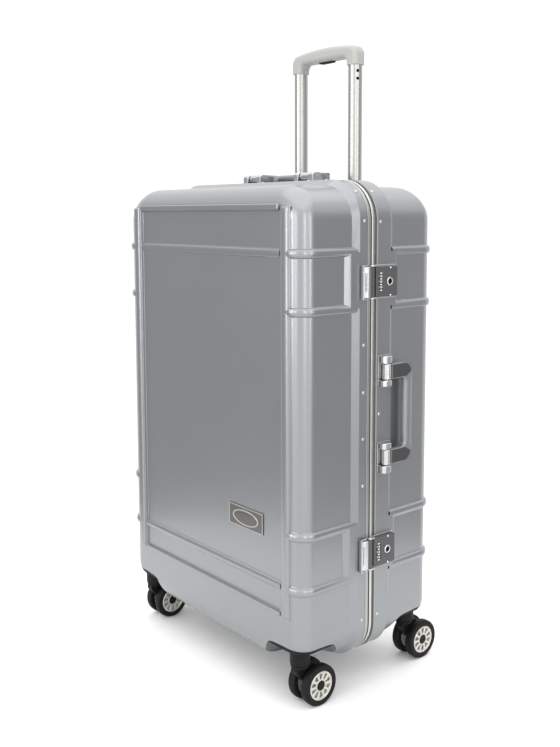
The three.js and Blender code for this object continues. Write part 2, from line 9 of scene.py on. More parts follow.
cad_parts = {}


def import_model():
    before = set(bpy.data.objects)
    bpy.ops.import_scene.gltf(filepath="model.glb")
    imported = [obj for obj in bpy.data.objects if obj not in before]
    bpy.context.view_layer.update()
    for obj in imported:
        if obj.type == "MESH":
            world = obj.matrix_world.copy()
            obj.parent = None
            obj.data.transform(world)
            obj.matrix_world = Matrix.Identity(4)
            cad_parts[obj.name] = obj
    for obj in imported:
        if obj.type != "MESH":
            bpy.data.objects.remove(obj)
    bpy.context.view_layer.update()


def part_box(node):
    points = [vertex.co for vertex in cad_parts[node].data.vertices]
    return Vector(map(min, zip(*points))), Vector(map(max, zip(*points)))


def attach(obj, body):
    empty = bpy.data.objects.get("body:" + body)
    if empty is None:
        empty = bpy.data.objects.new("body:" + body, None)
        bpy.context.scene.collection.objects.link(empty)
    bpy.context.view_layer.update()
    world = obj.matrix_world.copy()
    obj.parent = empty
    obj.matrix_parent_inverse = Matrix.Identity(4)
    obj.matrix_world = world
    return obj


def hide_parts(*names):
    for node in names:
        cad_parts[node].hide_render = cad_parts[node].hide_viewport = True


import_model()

# ------------ driving dimensions, in millimetres
# The design has y = 0 near the seam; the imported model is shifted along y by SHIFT.

MM = 0.001
FRONT_SEAM, BACK_SEAM = -3.7, -3.3
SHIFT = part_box("front_frame")[1].y / MM - FRONT_SEAM
HALF_WIDTH, BOTTOM, TOP = 229.5, 47.0, 767.0
CORNER, STEP, END_DROP, WALL = 60.0, 4.0, 5.0, 2.4
FRONT_FACE, BACK_FACE = -135.5, 137.0
SIDE_ROUND, END_ROUND = 25.0, 36.0
CORNER_STEPS, EDGE_STEPS = 14, 10
RIBS = (183.5, 263.5, 582.5, 663.0)
LOCKS = {"upper": 619.5, "lower": 216.0}
CASTER_X, CASTER_Y, TRAIL = 195.5, 112.0, 24.0
TUBE_X, TUBE_Y, TUBE_R = 66.5, 122.0, 11.5
WHEEL_R = 30.6
PANEL_HALF, PANEL_LOW, PANEL_HIGH = 179, 145, 722.5
HALVES = {
    "front": {"side": -1, "rim": -12.3, "edge": -27.5, "foot": -41.0, "face": FRONT_FACE,
              "pad": -45.0, "body": "case_front"},
    "back": {"side": 1, "rim": 7.8, "edge": 36.0, "foot": 41.5, "face": BACK_FACE,
             "pad": 47.0, "body": "case_back"},
}
QUARTER = pi / 2


# ------------ shapes: (vertices, faces) in millimetres

def loft(rings, closed=False):
    """Rings of points joined by quads, with a cap on each end unless the loft closes on itself."""
    count, size = len(rings), len(rings[0])
    verts = np.concatenate([np.asarray(r, float) for r in rings])
    faces = []
    for i in range(count if closed else count - 1):
        a, b = i * size, (i + 1) % count * size
        faces += [(a + j, a + (j + 1) % size, b + (j + 1) % size, b + j) for j in range(size)]
    if not closed:
        faces += [tuple(range(size))[::-1], tuple(range((count - 1) * size, count * size))]
    return verts, faces


def merge(*shapes):
    verts, faces, start = [], [], 0
    for v, f in shapes:
        verts.append(np.asarray(v, float))
        faces += [tuple(i + start for i in face) for face in f]
        start += len(v)
    return np.concatenate(verts), faces


def moved(shape, matrix):
    m = np.array(matrix, float)
    return shape[0] @ m[:3, :3].T + m[:3, 3], shape[1]


def shift(by):
    return Matrix.Translation(by)


def lifted(shape, height):
    return moved(shape, shift((0, 0, height)))


def span(side, low, high):
    """The two ends of a stretch on one side of zero, the lower first."""
    return sorted((side * low, side * high))


def turned(profile, sides=48, axis="z", at=(0, 0, 0)):
    """A closed profile of (radius, height) turned round an axis through `at`."""
    rings = [[(r * c, r * s, h) for r, h in profile] for c, s in circle(1, sides)]
    verts, faces = loft(rings, closed=True)
    order = {"x": (2, 0, 1), "y": (1, 2, 0), "z": (0, 1, 2)}[axis]
    return verts[:, order] + np.array(at, float), faces


def rod(axis, radius, low, high, at=(0, 0, 0), chamfer=0.4, sides=40):
    c = min(chamfer, radius / 2, (high - low) / 2)
    ends = [(0, low), (radius - c, low), (radius, low + c), (radius, high - c), (radius - c, high), (0, high)]
    return turned(ends, sides, axis, at)


def dome(radius, height, steps=6, sides=24):
    """A rivet's head, standing on z = 0, with a short shank below."""
    arc = [(radius * cos(i / steps * QUARTER), height * sin(i / steps * QUARTER))
           for i in range(steps + 1)]
    return turned([(0, -0.5), (radius, -0.5)] + arc, sides)


def rounded(points, radius, steps=5, closed=True):
    """A polyline with its corners rounded; `radius` is one number, or one for each point."""
    points = [np.array(p, float) for p in points]
    out = []
    for i, p in enumerate(points):
        r = radius[i] if hasattr(radius, "__len__") else radius
        if r <= 0 or (not closed and i in (0, len(points) - 1)):
            out.append(tuple(p))
            continue
        to, fro = points[i - 1] - p, points[(i + 1) % len(points)] - p
        to, fro = to / np.linalg.norm(to), fro / np.linalg.norm(fro)
        half = acos(max(-1, min(1, float(to @ fro)))) / 2
        reach = r / tan(half)
        a, b = p + to * reach, p + fro * reach
        centre = p + (to + fro) / np.linalg.norm(to + fro) * r / sin(half)
        for k in range(steps + 1):
            t = k / steps
            q = a * (1 - t) + b * t - centre
            out.append(tuple(centre + q / np.linalg.norm(q) * r))
    return out


def box(x0, x1, y0, y1, z0, z1, bevel=0.0, segments=3):
    bm = bmesh.new()
    bmesh.ops.create_cube(bm, size=1)
    for v in bm.verts:
        v.co = Vector(((x0, x1)[v.co.x > 0], (y0, y1)[v.co.y > 0], (z0, z1)[v.co.z > 0]))
    if bevel:
        bmesh.ops.bevel(bm, geom=list(bm.edges), offset=bevel, segments=segments, profile=0.5,
                        affect="EDGES", clamp_overlap=True)
    shape = np.array([v.co for v in bm.verts]), [tuple(v.index for v in f.verts) for f in bm.faces]
    bm.free()
    return shape


def slab(loops, thickness, bevel, segments=3):
    """Outlines in x and y, the first outside and the rest holes, from z = 0 up, edges bevelled."""
    curve = bpy.data.curves.new("slab", "CURVE")
    curve.dimensions, curve.fill_mode = "2D", "BOTH"
    curve.extrude, curve.bevel_depth = thickness / 2 - bevel, bevel
    curve.bevel_resolution, curve.offset = segments - 1, -bevel
    for loop in loops:
        spline = curve.splines.new("POLY")
        spline.points.add(len(loop) - 1)
        spline.use_cyclic_u = True
        for point, (x, y) in zip(spline.points, loop):
            point.co = (x, y, 0, 1)
    obj = add_object("slab", curve)
    verts, faces = evaluated(obj)
    bpy.data.objects.remove(obj)
    bpy.data.curves.remove(curve)
    return verts + (0, 0, thickness / 2), faces


def prism(profile, low, high, chamfer=0.5):
    """A profile in x and z carried along y, with its ends chamfered."""
    profile = np.array(profile, float)
    middle = (profile.max(0) + profile.min(0)) / 2
    half = (profile.max(0) - profile.min(0)) / 2
    small = middle + (profile - middle) * (1 - chamfer / half)
    rings = [(small, low), (profile, low + chamfer), (profile, high - chamfer), (small, high)]
    return loft([[(x, y, z) for x, z in ring] for ring, y in rings])


def circle(radius, count=40, x=0.0, y=0.0):
    return [(x + radius * cos(tau * i / count), y + radius * sin(tau * i / count))
            for i in range(count)]


def rectangle(x0, x1, y0, y1, radius, steps=5):
    return rounded([(x0, y0), (x1, y0), (x1, y1), (x0, y1)], radius, steps)


def sweep(path, section):
    """Sections carried along a path in x and y. `section(t)` gives (across, up) points, t is 0 to 1."""
    path = np.array(path, float)
    lengths = np.concatenate([[0], np.cumsum(np.linalg.norm(np.diff(path, axis=0), axis=1))])
    rings = []
    for i, p in enumerate(path):
        ahead = path[min(i + 1, len(path) - 1)] - path[max(i - 1, 0)]
        ahead /= np.linalg.norm(ahead)
        across = np.array([ahead[1], -ahead[0]])
        rings.append([(*(p + across * a), up) for a, up in section(lengths[i] / lengths[-1])])
    return loft(rings)


def superellipse(half_a, half_b, power, count=40):
    out = []
    for i in range(count):
        c, s = cos(tau * (i + 0.5) / count), sin(tau * (i + 0.5) / count)
        out.append((half_a * copysign(abs(c) ** (2 / power), c),
                    half_b * copysign(abs(s) ** (2 / power), s)))
    return out


# ------------ meshes and objects

def to_mesh(name, shape, merge_by=1e-4):
    mesh = bpy.data.meshes.new(name)
    bm = bmesh.new()
    made = [bm.verts.new(v) for v in shape[0]]
    for face in shape[1]:
        try:
            bm.faces.new([made[i] for i in face])
        except ValueError:
            continue
    bmesh.ops.remove_doubles(bm, verts=bm.verts, dist=merge_by)
    bmesh.ops.recalc_face_normals(bm, faces=bm.faces)
    bm.to_mesh(mesh)
    bm.free()
    return mesh


def from_mesh(mesh):
    return np.array([v.co for v in mesh.vertices], float), [tuple(p.vertices) for p in mesh.polygons]


def add_object(name, data):
    obj = bpy.data.objects.new(name, data)
    bpy.context.scene.collection.objects.link(obj)
    return obj


def evaluated(obj):
    """The shape of an object with its modifiers or its curve worked out."""
    bpy.context.view_layer.update()
    return from_mesh(obj.evaluated_get(bpy.context.evaluated_depsgraph_get()).to_mesh())


def boolean(shape, *steps):
    """A shape after steps of ("UNION" | "DIFFERENCE" | "INTERSECT", other shape)."""
    target = add_object("target", to_mesh("target", shape))
    tools = []
    for operation, other in steps:
        tools.append(add_object("tool", to_mesh("tool", other)))
        modifier = target.modifiers.new("boolean", "BOOLEAN")
        modifier.operation, modifier.object, modifier.solver = operation, tools[-1], "MANIFOLD"
    result = evaluated(target)
    for obj in [target, *tools]:
        mesh = obj.data
        bpy.data.objects.remove(obj)
        bpy.data.meshes.remove(mesh)
    if not result[1]:
        raise RuntimeError("a boolean left nothing")
    return result


def cut(shape, *others):
    return boolean(shape, *[("DIFFERENCE", other) for other in others])


def piece(name, shape, material, body, replaces=None, place=None, sharp=32, extra=None,
          weighted=True):
    """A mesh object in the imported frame, riding on a body. `extra` is (material, test of a face's centre)."""
    mesh = to_mesh(name, shape)
    mesh.transform(place or Matrix.Identity(4))
    mesh.transform(Matrix.Scale(MM, 4) @ Matrix.Translation((0, SHIFT, 0)))
    mesh.materials.append(material)
    if extra:
        mesh.materials.append(extra[0])
    mesh.shade_smooth()
    mesh.set_sharp_from_angle(angle=radians(sharp))
    if extra:
        for polygon, centre in zip(mesh.polygons, face_centres(name, shape)):
            if extra[1](centre):
                polygon.material_index = 1
    obj = add_object(name, mesh)
    if weighted:
        modifier = obj.modifiers.new("weighted normals", "WEIGHTED_NORMAL")
        modifier.keep_sharp, modifier.weight = True, 60
    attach(obj, body)
    if replaces:
        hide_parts(replaces)
    return obj


def face_centres(name, shape):
    """The middles of a shape's faces in its own millimetres, in the order of its mesh."""
    mesh = to_mesh(name + "_local", shape)
    found = [p.center.copy() for p in mesh.polygons]
    bpy.data.meshes.remove(mesh)
    return found


def place_at(origin, up, out):
    """The matrix from (back from the seam, up, out of the case) to the design's own axes."""
    back = Vector((0, 1, 0))
    m = Matrix((back, Vector(up), Vector(out))).transposed().to_4x4()
    m.translation = Vector(origin)
    return m


# ------------ materials

def node_maker(tree):
    """A function that adds a node to a tree, with its settings and its inputs set or linked."""
    nodes, links = tree.nodes, tree.links

    def node(kind, settings=None, **inputs):
        made = nodes.new(kind)
        for key, value in (settings or {}).items():
            setattr(made, key, value)
        for key, value in inputs.items():
            socket = made.inputs[key.replace("_", " ")]
            if isinstance(value, bpy.types.NodeSocket):
                links.new(value, socket)
            else:
                socket.default_value = value
        return made

    return node, links


def material(name, base, rough, metal=0.0, sockets=None):
    """A Principled material, its shader, what adds and links its nodes, and its object coordinates."""
    mat = bpy.data.materials.new(name)
    mat.use_nodes = True
    shader = mat.node_tree.nodes["Principled BSDF"]
    shader.inputs["Base Color"].default_value = (*base, 1)
    shader.inputs["Roughness"].default_value = rough
    shader.inputs["Metallic"].default_value = metal
    for key, value in (sockets or {}).items():
        shader.inputs[key].default_value = value
    mat.diffuse_color = (*base, 1)
    node, links = node_maker(mat.node_tree)
    where = node("ShaderNodeTexCoord").outputs["Object"]
    return mat, shader, node, links, where


def tinted(base, factor):
    return tuple(min(1, c * factor) for c in base) + (1,)


def add_tone(kit, source, base, low, high):
    """Base colour between two shades of `base`, by a 0 to 1 source."""
    mat, shader, node, links, where = kit
    ramp = node("ShaderNodeValToRGB", Fac=source)
    ramp.color_ramp.elements[0].color = tinted(base, low)
    ramp.color_ramp.elements[1].color = tinted(base, high)
    links.new(ramp.outputs["Color"], shader.inputs["Base Color"])
    return ramp


def add_rough(kit, source, low, high):
    mat, shader, node, links, where = kit
    spread = node("ShaderNodeMapRange", Value=source, To_Min=low, To_Max=high)
    links.new(spread.outputs["Result"], shader.inputs["Roughness"])


def add_bump(kit, source, strength, distance):
    mat, shader, node, links, where = kit
    bump = node("ShaderNodeBump", Height=source, Strength=strength, Distance=distance)
    links.new(bump.outputs["Normal"], shader.inputs["Normal"])


def speckled(name, base, rough, metal=0.0, scale=900.0, tone=(0.92, 1.08), bump=0.08, spread=0.05,
             sockets=None):
    """Moulded or cast: a fine grain in colour, roughness and height, with slow wear in the roughness."""
    kit = material(name, base, rough, metal, sockets)
    mat, shader, node, links, where = kit
    grain = node("ShaderNodeTexNoise", Vector=where, Scale=scale, Detail=3.0, Roughness=0.6)
    slow = node("ShaderNodeTexNoise", Vector=where, Scale=9.0, Detail=4.0)
    ramp = add_tone(kit, grain.outputs["Fac"], base, *tone)
    ramp.color_ramp.elements[0].position, ramp.color_ramp.elements[1].position = 0.3, 0.7
    add_rough(kit, slow.outputs["Fac"], rough - spread, rough + spread)
    add_bump(kit, grain.outputs["Fac"], bump, 0.0002)
    return mat


def brushed(name, base, rough, stretch, metal=1.0, tone=(0.9, 1.06), bump=0.05, sockets=None):
    """Drawn or brushed metal: noise pulled out along one axis."""
    kit = material(name, base, rough, metal, sockets)
    mat, shader, node, links, where = kit
    mapping = node("ShaderNodeMapping", Vector=where, Scale=stretch)
    lines = node("ShaderNodeTexNoise", Vector=mapping.outputs["Vector"], Scale=1.0, Detail=4.0,
                 Roughness=0.7)
    add_tone(kit, lines.outputs["Fac"], base, *tone)
    add_rough(kit, lines.outputs["Fac"], rough - 0.06, rough + 0.08)
    add_bump(kit, lines.outputs["Fac"], bump, 0.0001)
    return mat


def woven(name, base, pitch, sockets=None):
    """Cloth: warp and weft as two crossed waves, with a fuzz of noise."""
    kit = material(name, base, 0.9, 0.0, sockets)
    mat, shader, node, links, where = kit
    waves = [node("ShaderNodeTexWave", {"bands_direction": axis}, Vector=where, Scale=pitch, Distortion=0.4)
             for axis in ("X", "Z")]
    both = node("ShaderNodeMath", {"operation": "MULTIPLY"})
    links.new(waves[0].outputs["Fac"], both.inputs[0])
    links.new(waves[1].outputs["Fac"], both.inputs[1])
    add_tone(kit, both.outputs["Value"], base, 0.7, 1.35)
    add_bump(kit, both.outputs["Value"], 0.5, 0.0003)
    return mat


def settle(mat, reach=0.006, darkest=0.16):
    """Painted shade: darken the colour in tight corners and creases, where shade falls, and more so on the
    faces that look down.
    """
    colour = mat.node_tree.nodes["Principled BSDF"].inputs["Base Color"]
    source = colour.links[0].from_socket
    node, links = node_maker(mat.node_tree)
    corner = node("ShaderNodeAmbientOcclusion", {"only_local": True, "samples": 6}, Distance=reach)
    normal = node("ShaderNodeTexCoord").outputs["Normal"]
    facing = node("ShaderNodeSeparateXYZ", Vector=normal).outputs["Z"]
    lift = node("ShaderNodeMath", {"operation": "MULTIPLY_ADD"})
    lift.inputs[1].default_value = 0.5
    links.new(facing, lift.inputs[0])
    links.new(corner.outputs["AO"], lift.inputs[2])
    ramp = node("ShaderNodeMapRange", Value=lift.outputs["Value"], From_Min=0.12, From_Max=0.62,
                To_Min=darkest)
    # The base colour scaled down here is the painted shade.
    painted_shade = node("ShaderNodeVectorMath", {"operation": "SCALE"}, Vector=source, Scale=ramp.outputs["Result"])
    links.new(painted_shade.outputs["Vector"], colour)
    return mat


# Painted shade: the shell's colour is darkened in its creases and on faces that look down.
SHELL = settle(speckled("shell_plastic", (0.27, 0.28, 0.292), 0.34, 0.88, 1400.0, (0.94, 1.06), 0.04, 0.03,
                        {"Coat Weight": 0.5, "Coat Roughness": 0.14}))
ALUMINIUM = brushed("frame_aluminium", (0.60, 0.60, 0.58), 0.30, (1500.0, 1500.0, 12.0))
# Painted shade: the same aluminium as the back frame, made darker for the front frame to lower its brightness.
FRONT_FRAME_SHADED = brushed("front_lip_aluminium_painted_shade", (0.42, 0.42, 0.41), 0.34, (1500.0, 1500.0, 12.0))
# Painted shade: a dark colour laid on the frame's groove faces, standing for the shade in the groove.
GROOVE_SHADE = speckled("frame_groove_painted_shade", (0.17, 0.17, 0.165), 0.5, 0.5)
SEAL = speckled("seal_rubber", (0.03, 0.03, 0.032), 0.75, 0.0, 700.0)
TUBE = brushed("trolley_aluminium", (0.42, 0.42, 0.405), 0.32, (2200.0, 2200.0, 6.0), bump=0.01)
PLATE = brushed("name_plate_metal", (0.17, 0.165, 0.158), 0.34, (8.0, 900.0, 1400.0))
RELIEF = brushed("name_plate_relief", (0.48, 0.47, 0.45), 0.3, (8.0, 900.0, 1400.0))
BLACK = speckled("black_plastic", (0.005, 0.005, 0.0055), 0.46, 0.0, 1100.0, (0.8, 1.25), 0.2,
                 sockets={"Specular IOR Level": 0.16})
GRIP = speckled("grip_plastic", (0.36, 0.36, 0.34), 0.45, 0.0, 1300.0, (0.96, 1.03), 0.05)
LOCK = speckled("lock_plate_metal", (0.09, 0.09, 0.092), 0.42, 0.5, 2200.0, (0.55, 1.5), 0.3)
CHROME = speckled("lock_metal", (0.56, 0.565, 0.57), 0.24, 1.0, 500.0, (0.96, 1.03), 0.02, 0.05)
RIVET = speckled("rivet_metal", (0.5, 0.51, 0.52), 0.3, 1.0, 900.0, (0.95, 1.04), 0.02)
STEEL = brushed("hinge_steel", (0.42, 0.42, 0.42), 0.32, (1200.0, 1200.0, 20.0))
HANDLE = speckled("handle_metal", (0.25, 0.255, 0.26), 0.38, 0.7, 1500.0, (0.95, 1.05), 0.04)
ARM = speckled("handle_arm", (0.05, 0.05, 0.052), 0.4, 0.4, 1700.0, (0.8, 1.25), 0.1)
DIGIT = speckled("dial_digits", (0.85, 0.85, 0.82), 0.5, 0.0, 900.0, (0.97, 1.02), 0.02)
DIAL = speckled("dial_plastic", (0.03, 0.03, 0.03), 0.4, 0.0, 900.0)
TYRE = speckled("tyre_rubber", (0.006, 0.006, 0.0062), 0.55, 0.0, 800.0, (0.8, 1.3), 0.15,
                sockets={"Specular IOR Level": 0.15})
RIM = speckled("rim_silver", (0.56, 0.55, 0.51), 0.3, 0.55, 1200.0, (0.96, 1.03), 0.03)
LINING = woven("lining_fabric", (0.045, 0.046, 0.055), 2200.0, {"Sheen Weight": 0.3})
WEBBING = woven("strap_webbing", (0.02, 0.02, 0.023), 1400.0, {"Sheen Weight": 0.2})


# ------------ the case's surfaces

def outline(place):
    cx, rings = HALF_WIDTH - CORNER, []
    for quadrant, (x, z) in enumerate([(cx, TOP - CORNER), (-cx, TOP - CORNER),
                                       (-cx, BOTTOM + CORNER), (cx, BOTTOM + CORNER)]):
        for i in range(CORNER_STEPS + 1):
            rings.append(place(x, z, (quadrant + i / CORNER_STEPS) * QUARTER))
    return rings


def flat_ring(inset, y, drop=None):
    drop = END_DROP * min(1, max(0, inset / STEP)) if drop is None else drop
    across, up = CORNER - inset, CORNER - inset - drop
    return outline(lambda x, z, a: (x + across * cos(a), y, z + up * sin(a)))


def edge_ring(inset, face, turn):
    side = copysign(1, face)
    side_r, end_r = SIDE_ROUND + STEP - inset, END_ROUND + STEP - inset
    back = 1 - cos(turn)
    across = CORNER - inset - side_r * back
    up = CORNER - inset - END_DROP - end_r * back

    def place(x, z, a):
        radius = side_r * cos(a) ** 2 + end_r * sin(a) ** 2
        return (x + across * cos(a), face - side * radius * (1 - sin(turn)), z + up * sin(a))
    return outline(place)


def edge_rings(inset, face, steps=EDGE_STEPS):
    return [edge_ring(inset, face, i / steps * QUARTER) for i in range(steps + 1)]


def core(inset, rim, face):
    return loft([flat_ring(inset, rim, END_DROP), *edge_rings(inset, face)])


def hoop(profile):
    """A closed profile of (inset, y) carried round the case, with no drop at the ends."""
    return loft([flat_ring(inset, y, 0) for inset, y in profile], closed=True)


RIB_HALF, RIB_RISE, ROOT = 6.0, 4.0, 1.4


def rib_section(half=RIB_HALF, rise=RIB_RISE, steps=14, power=0.75):
    """Half round with small fillets at its feet, as (out, along) points."""
    foot = [(-ROOT, -half - 1.4), (0.02, -half - 1.2), (0.3, -half - 0.35), (0.9, -half + 0.12)]
    arc = []
    for i in range(1, steps):
        turn = pi * i / steps
        out = rise * sin(turn) ** power
        if out > 1.2:
            arc.append((out, -half * cos(turn)))
    return foot + arc + [(out, -along) for out, along in reversed(foot)]


def side_rib(x_side, half, height):
    facing, face = half["side"], half["face"]
    surface = HALF_WIDTH - STEP
    cx, cy = surface - SIDE_ROUND, face - facing * SIDE_ROUND
    stations = [(surface, half["edge"] + facing * 4, 0)]
    for i in range(EDGE_STEPS + 1):
        turn = i / EDGE_STEPS * QUARTER
        stations.append((cx + SIDE_ROUND * cos(turn), cy + facing * SIDE_ROUND * sin(turn), turn))
    stations.append((192.0, face, QUARTER))
    return loft([[(x_side * (x + out * cos(a)), y + facing * out * sin(a), height + along)
                  for out, along in rib_section()] for x, y, a in stations])


def ridge(y, height, half, rise):
    return loft([[(x, y - out, height + along) for out, along in rib_section(half, rise)]
                 for x in (-180.0, 180.0)])


def upright(x_side, half, middle=192.5, width=8.5, rise=4.0):
    """The rounded bar beside the panel, its ends sloped off."""
    ends = [(0, 0.15), (0.9, 0.6), (2.6, 0.9), (5.5, 1.0)]
    stations = [(139 + d, s) for d, s in ends] + [(728 - d, s) for d, s in reversed(ends)]
    return loft([[(x_side * (middle + along), half["face"] + half["side"] * (out * s if out > 0 else out), z)
                  for out, along in rib_section(width, rise, 18, 0.5)] for z, s in stations])


def pad(x_side, half, low, high):
    """The flange's wider stretch between two ribs, beside a lock or a hinge."""
    facing, level, base = half["side"], HALF_WIDTH - 0.04, HALF_WIDTH - STEP
    seam, wide = half["edge"] - facing * 5, half["pad"]
    reach = 11.0 if facing < 0 else 4.5
    profile = rounded([(base - ROOT, seam), (level, seam), (level, wide), (base, wide + facing * reach),
                       (base - 0.8, wide + facing * (reach + 6)), (base - ROOT, wide + facing * (reach + 6))],
                      [0, 0, 3, 5, 0, 0], 5)
    return loft([[(x_side * x, y, z) for x, y in profile] for z in (low, high)])


def pocket(x, y, grow, sides=72):
    profile = [(0, 30), (66 + grow, 30), (66 + grow, 63 + grow / 2), (50 + grow, 91 + grow),
               (44 + grow, 93.4 + grow), (25, 95.4 + grow), (0, 96 + grow)]
    return turned(profile, sides, "z", (x, y, 0))


def shell(half):
    side, face, rim = half["side"], half["face"], half["rim"]
    slope = rounded([(0, rim), (0, half["edge"]), (STEP, half["foot"]), (STEP, half["foot"] + side * 12)],
                    [0, 4, 5, 0], 4, closed=False)
    slope = rounded([(1.0, rim), (0, rim + side * 0.8), *slope[1:]], 0, closed=False)
    inside = STEP + WALL
    inner_face = face - side * (4.4 if side < 0 else WALL)
    cup = loft([
        *reversed(edge_rings(inside, inner_face, 6)),
        flat_ring(inside, half["foot"], END_DROP),
        flat_ring(2.5, half["edge"], 0),
        flat_ring(2.5, rim, 0),
        *[flat_ring(inset, y) for inset, y in slope],
        *edge_rings(STEP, face),
    ])
    raised = []
    for x in (-1, 1):
        raised.append(upright(x, half))
        raised += [side_rib(x, half, height) for height in RIBS]
        raised += [pad(x, half, RIBS[0], RIBS[1]), pad(x, half, RIBS[2], RIBS[3])]
    filled = core(STEP + 0.2, rim + side, face - side * 0.2)
    walls = [boolean(pocket(x * CASTER_X, side * CASTER_Y, WALL), ("INTERSECT", filled)) for x in (-1, 1)]
    steps = [("UNION", shape) for shape in [*raised, *walls]]
    if side < 0:
        edge = PANEL_HALF + 0.5
        recess = box(-PANEL_HALF, PANEL_HALF, face - 9, face + 2, PANEL_LOW, PANEL_HIGH, 1.2, 3)
        steps.append(("DIFFERENCE", recess))
        steps += [
            ("UNION", ridge(face + 2, RIBS[0], 6.0, 3.2)),
            ("UNION", ridge(face + 2, RIBS[3], 6.0, 3.2)),
            ("UNION", box(-edge, edge, face - 2.4, face + 1.5, PANEL_LOW - 6, PANEL_LOW, 1.2, 3)),
            ("UNION", box(-edge, edge, face - 4.0, face + 3.4, PANEL_HIGH, PANEL_HIGH + 9, 2.2, 4)),
        ]
    else:
        steps.append(("DIFFERENCE", box(-86.3, 86.3, 105.7, 150, 721.7, 780)))
    steps += [("DIFFERENCE", pocket(x * CASTER_X, side * CASTER_Y, 0)) for x in (-1, 1)]
    return boolean(cup, *steps)


for name, half in HALVES.items():
    piece(f"{name}_shell_moulding", shell(half), SHELL, half["body"], f"{name}_shell")

# ------------ frame, seal and rivets

front_hoop = rounded([(2.6, FRONT_SEAM), (2.6, -6.4), (0, -6.4), (0, -12), (2.8, -12), (2.8, -26), (5.8, -26),
                      (8, -12), (8, FRONT_SEAM)], [0, 0.2, 0.9, 0.6, 0, 0.5, 0.5, 0.5, 0.4], 3)
back_hoop = rounded([(0, BACK_SEAM), (0, 0.9), (2.6, 0.9), (2.6, 6.3), (0.4, 6.3), (0.4, 7.5), (2.8, 7.5),
                     (2.8, 35), (5.8, 35), (8, 7.5), (8, BACK_SEAM), (5.7, BACK_SEAM), (5.7, -0.5),
                     (2.5, -0.5), (2.5, BACK_SEAM)],
                    [0.9, 0.9, 0.2, 0.2, 0.3, 0.3, 0, 0.5, 0.5, 0.5, 0.4, 0, 0, 0, 0], 3)


OUTER_BAND = 3.4


def in_groove(low, high):
    """A face on the outside of a frame whose middle lies between two depths y."""
    def test(centre):
        x, z = abs(centre.x), abs(centre.z - (TOP + BOTTOM) / 2)
        tall = (TOP - BOTTOM) / 2
        outside = max(x - (HALF_WIDTH - OUTER_BAND), z - (tall - OUTER_BAND))
        reach = hypot(max(0, x - (HALF_WIDTH - CORNER)), max(0, z - (tall - CORNER)))
        return low < centre.y < high and (outside > 0 or reach > CORNER - OUTER_BAND)
    return test


# The faces in each frame's groove take the dark groove material, which paints shade there.
piece("front_frame_ring", hoop(front_hoop), FRONT_FRAME_SHADED, "case_front", "front_frame",
      extra=(GROOVE_SHADE, in_groove(-6.35, FRONT_SEAM + 0.2)), sharp=40)
piece("back_frame_ring", hoop(back_hoop), ALUMINIUM, "case_back", "back_frame",
      extra=(GROOVE_SHADE, in_groove(0.95, 6.9)), sharp=40)
seal_bead = rounded([(2.8, -0.8), (5.4, -0.8), (5.4, BACK_SEAM - 0.1), (2.8, BACK_SEAM - 0.1)],
                    [0.3, 0.3, 0.9, 0.9], 4)
piece("frame_seal_bead", hoop(seal_bead), SEAL, "case_back", "frame_seal")


def around(t_x, t_z):
    """A point on the outline at the flange level and the way out of it, towards (t_x, t_z)."""
    cx, cz, middle = HALF_WIDTH - CORNER, (TOP - BOTTOM) / 2 - CORNER, (TOP + BOTTOM) / 2
    px = max(-cx, min(cx, t_x))
    pz = max(-cz, min(cz, t_z - middle))
    out = Vector((t_x - px, 0, t_z - middle - pz)).normalized()
    return Vector((px, 0, pz + middle)) + out * CORNER, out


def rivets(y, sides, tops):
    """Domed rivets round one flange, at heights on the sides and places along the top and bottom."""
    aims = [(x * 400, z) for x in (-1, 1) for z in sides]
    aims += [(x, z) for x in tops for z in (2000, -1200)]
    aims += [(x * HALF_WIDTH, z) for x in (-1, 1) for z in (TOP, BOTTOM)]
    shapes = []
    for t_x, t_z in aims:
        at, out = around(t_x, t_z)
        m = out.to_track_quat("Z", "Y").to_matrix().to_4x4()
        m.translation = at + Vector((0, y, 0))
        shapes.append(moved(dome(2.6, 1.3), m))
    return merge(*shapes)


piece("front_rivets", rivets(-19.5, (707, 528.5, 459, 390, 320, 115.5), (-150, -110, 0, 110, 150)),
      RIVET, "case_front")
piece("back_rivets", rivets(13.5, (705.5, 423, 115.7), (-150, -115, 115, 150)),
      RIVET, "case_back")

# ------------ name plate: a plain metal plate with an oval

PLATE_X, PLATE_Z = (57.0, 139.0), (247.0, 279.5)
to_panel = Matrix.Translation((0, FRONT_FACE + 2 - 0.3, 0)) @ Matrix.Rotation(QUARTER, 4, "X")
mid_x, mid_z = sum(PLATE_X) / 2, sum(PLATE_Z) / 2


def plate_rect(inset, radius):
    return rectangle(PLATE_X[0] + inset, PLATE_X[1] - inset, PLATE_Z[0] + inset, PLATE_Z[1] - inset, radius)


def oval(a, b):
    return [(mid_x + a * c, mid_z + b * s) for c, s in circle(1, 72)]


RELIEF_UP = 0.7
plate_body = slab([plate_rect(0, 2.0)], 1.2, 0.4)
plate_edge = lifted(slab([plate_rect(0.2, 1.8), plate_rect(1.7, 1.2)], 0.9, 0.35), RELIEF_UP)
plate_oval = lifted(slab([oval(31, 12), oval(28.0, 9.6)], 1.3, 0.5), RELIEF_UP)
plate_boss = lifted(slab([oval(25.5, 7.4)], 1.2, 0.5), RELIEF_UP)
piece("name_plate_body", merge(plate_body, plate_boss), PLATE, "case_front", "name_plate",
      place=to_panel)
piece("name_plate_relief", merge(plate_edge, plate_oval), RELIEF, "case_front",
      place=to_panel)

# ------------ trolley

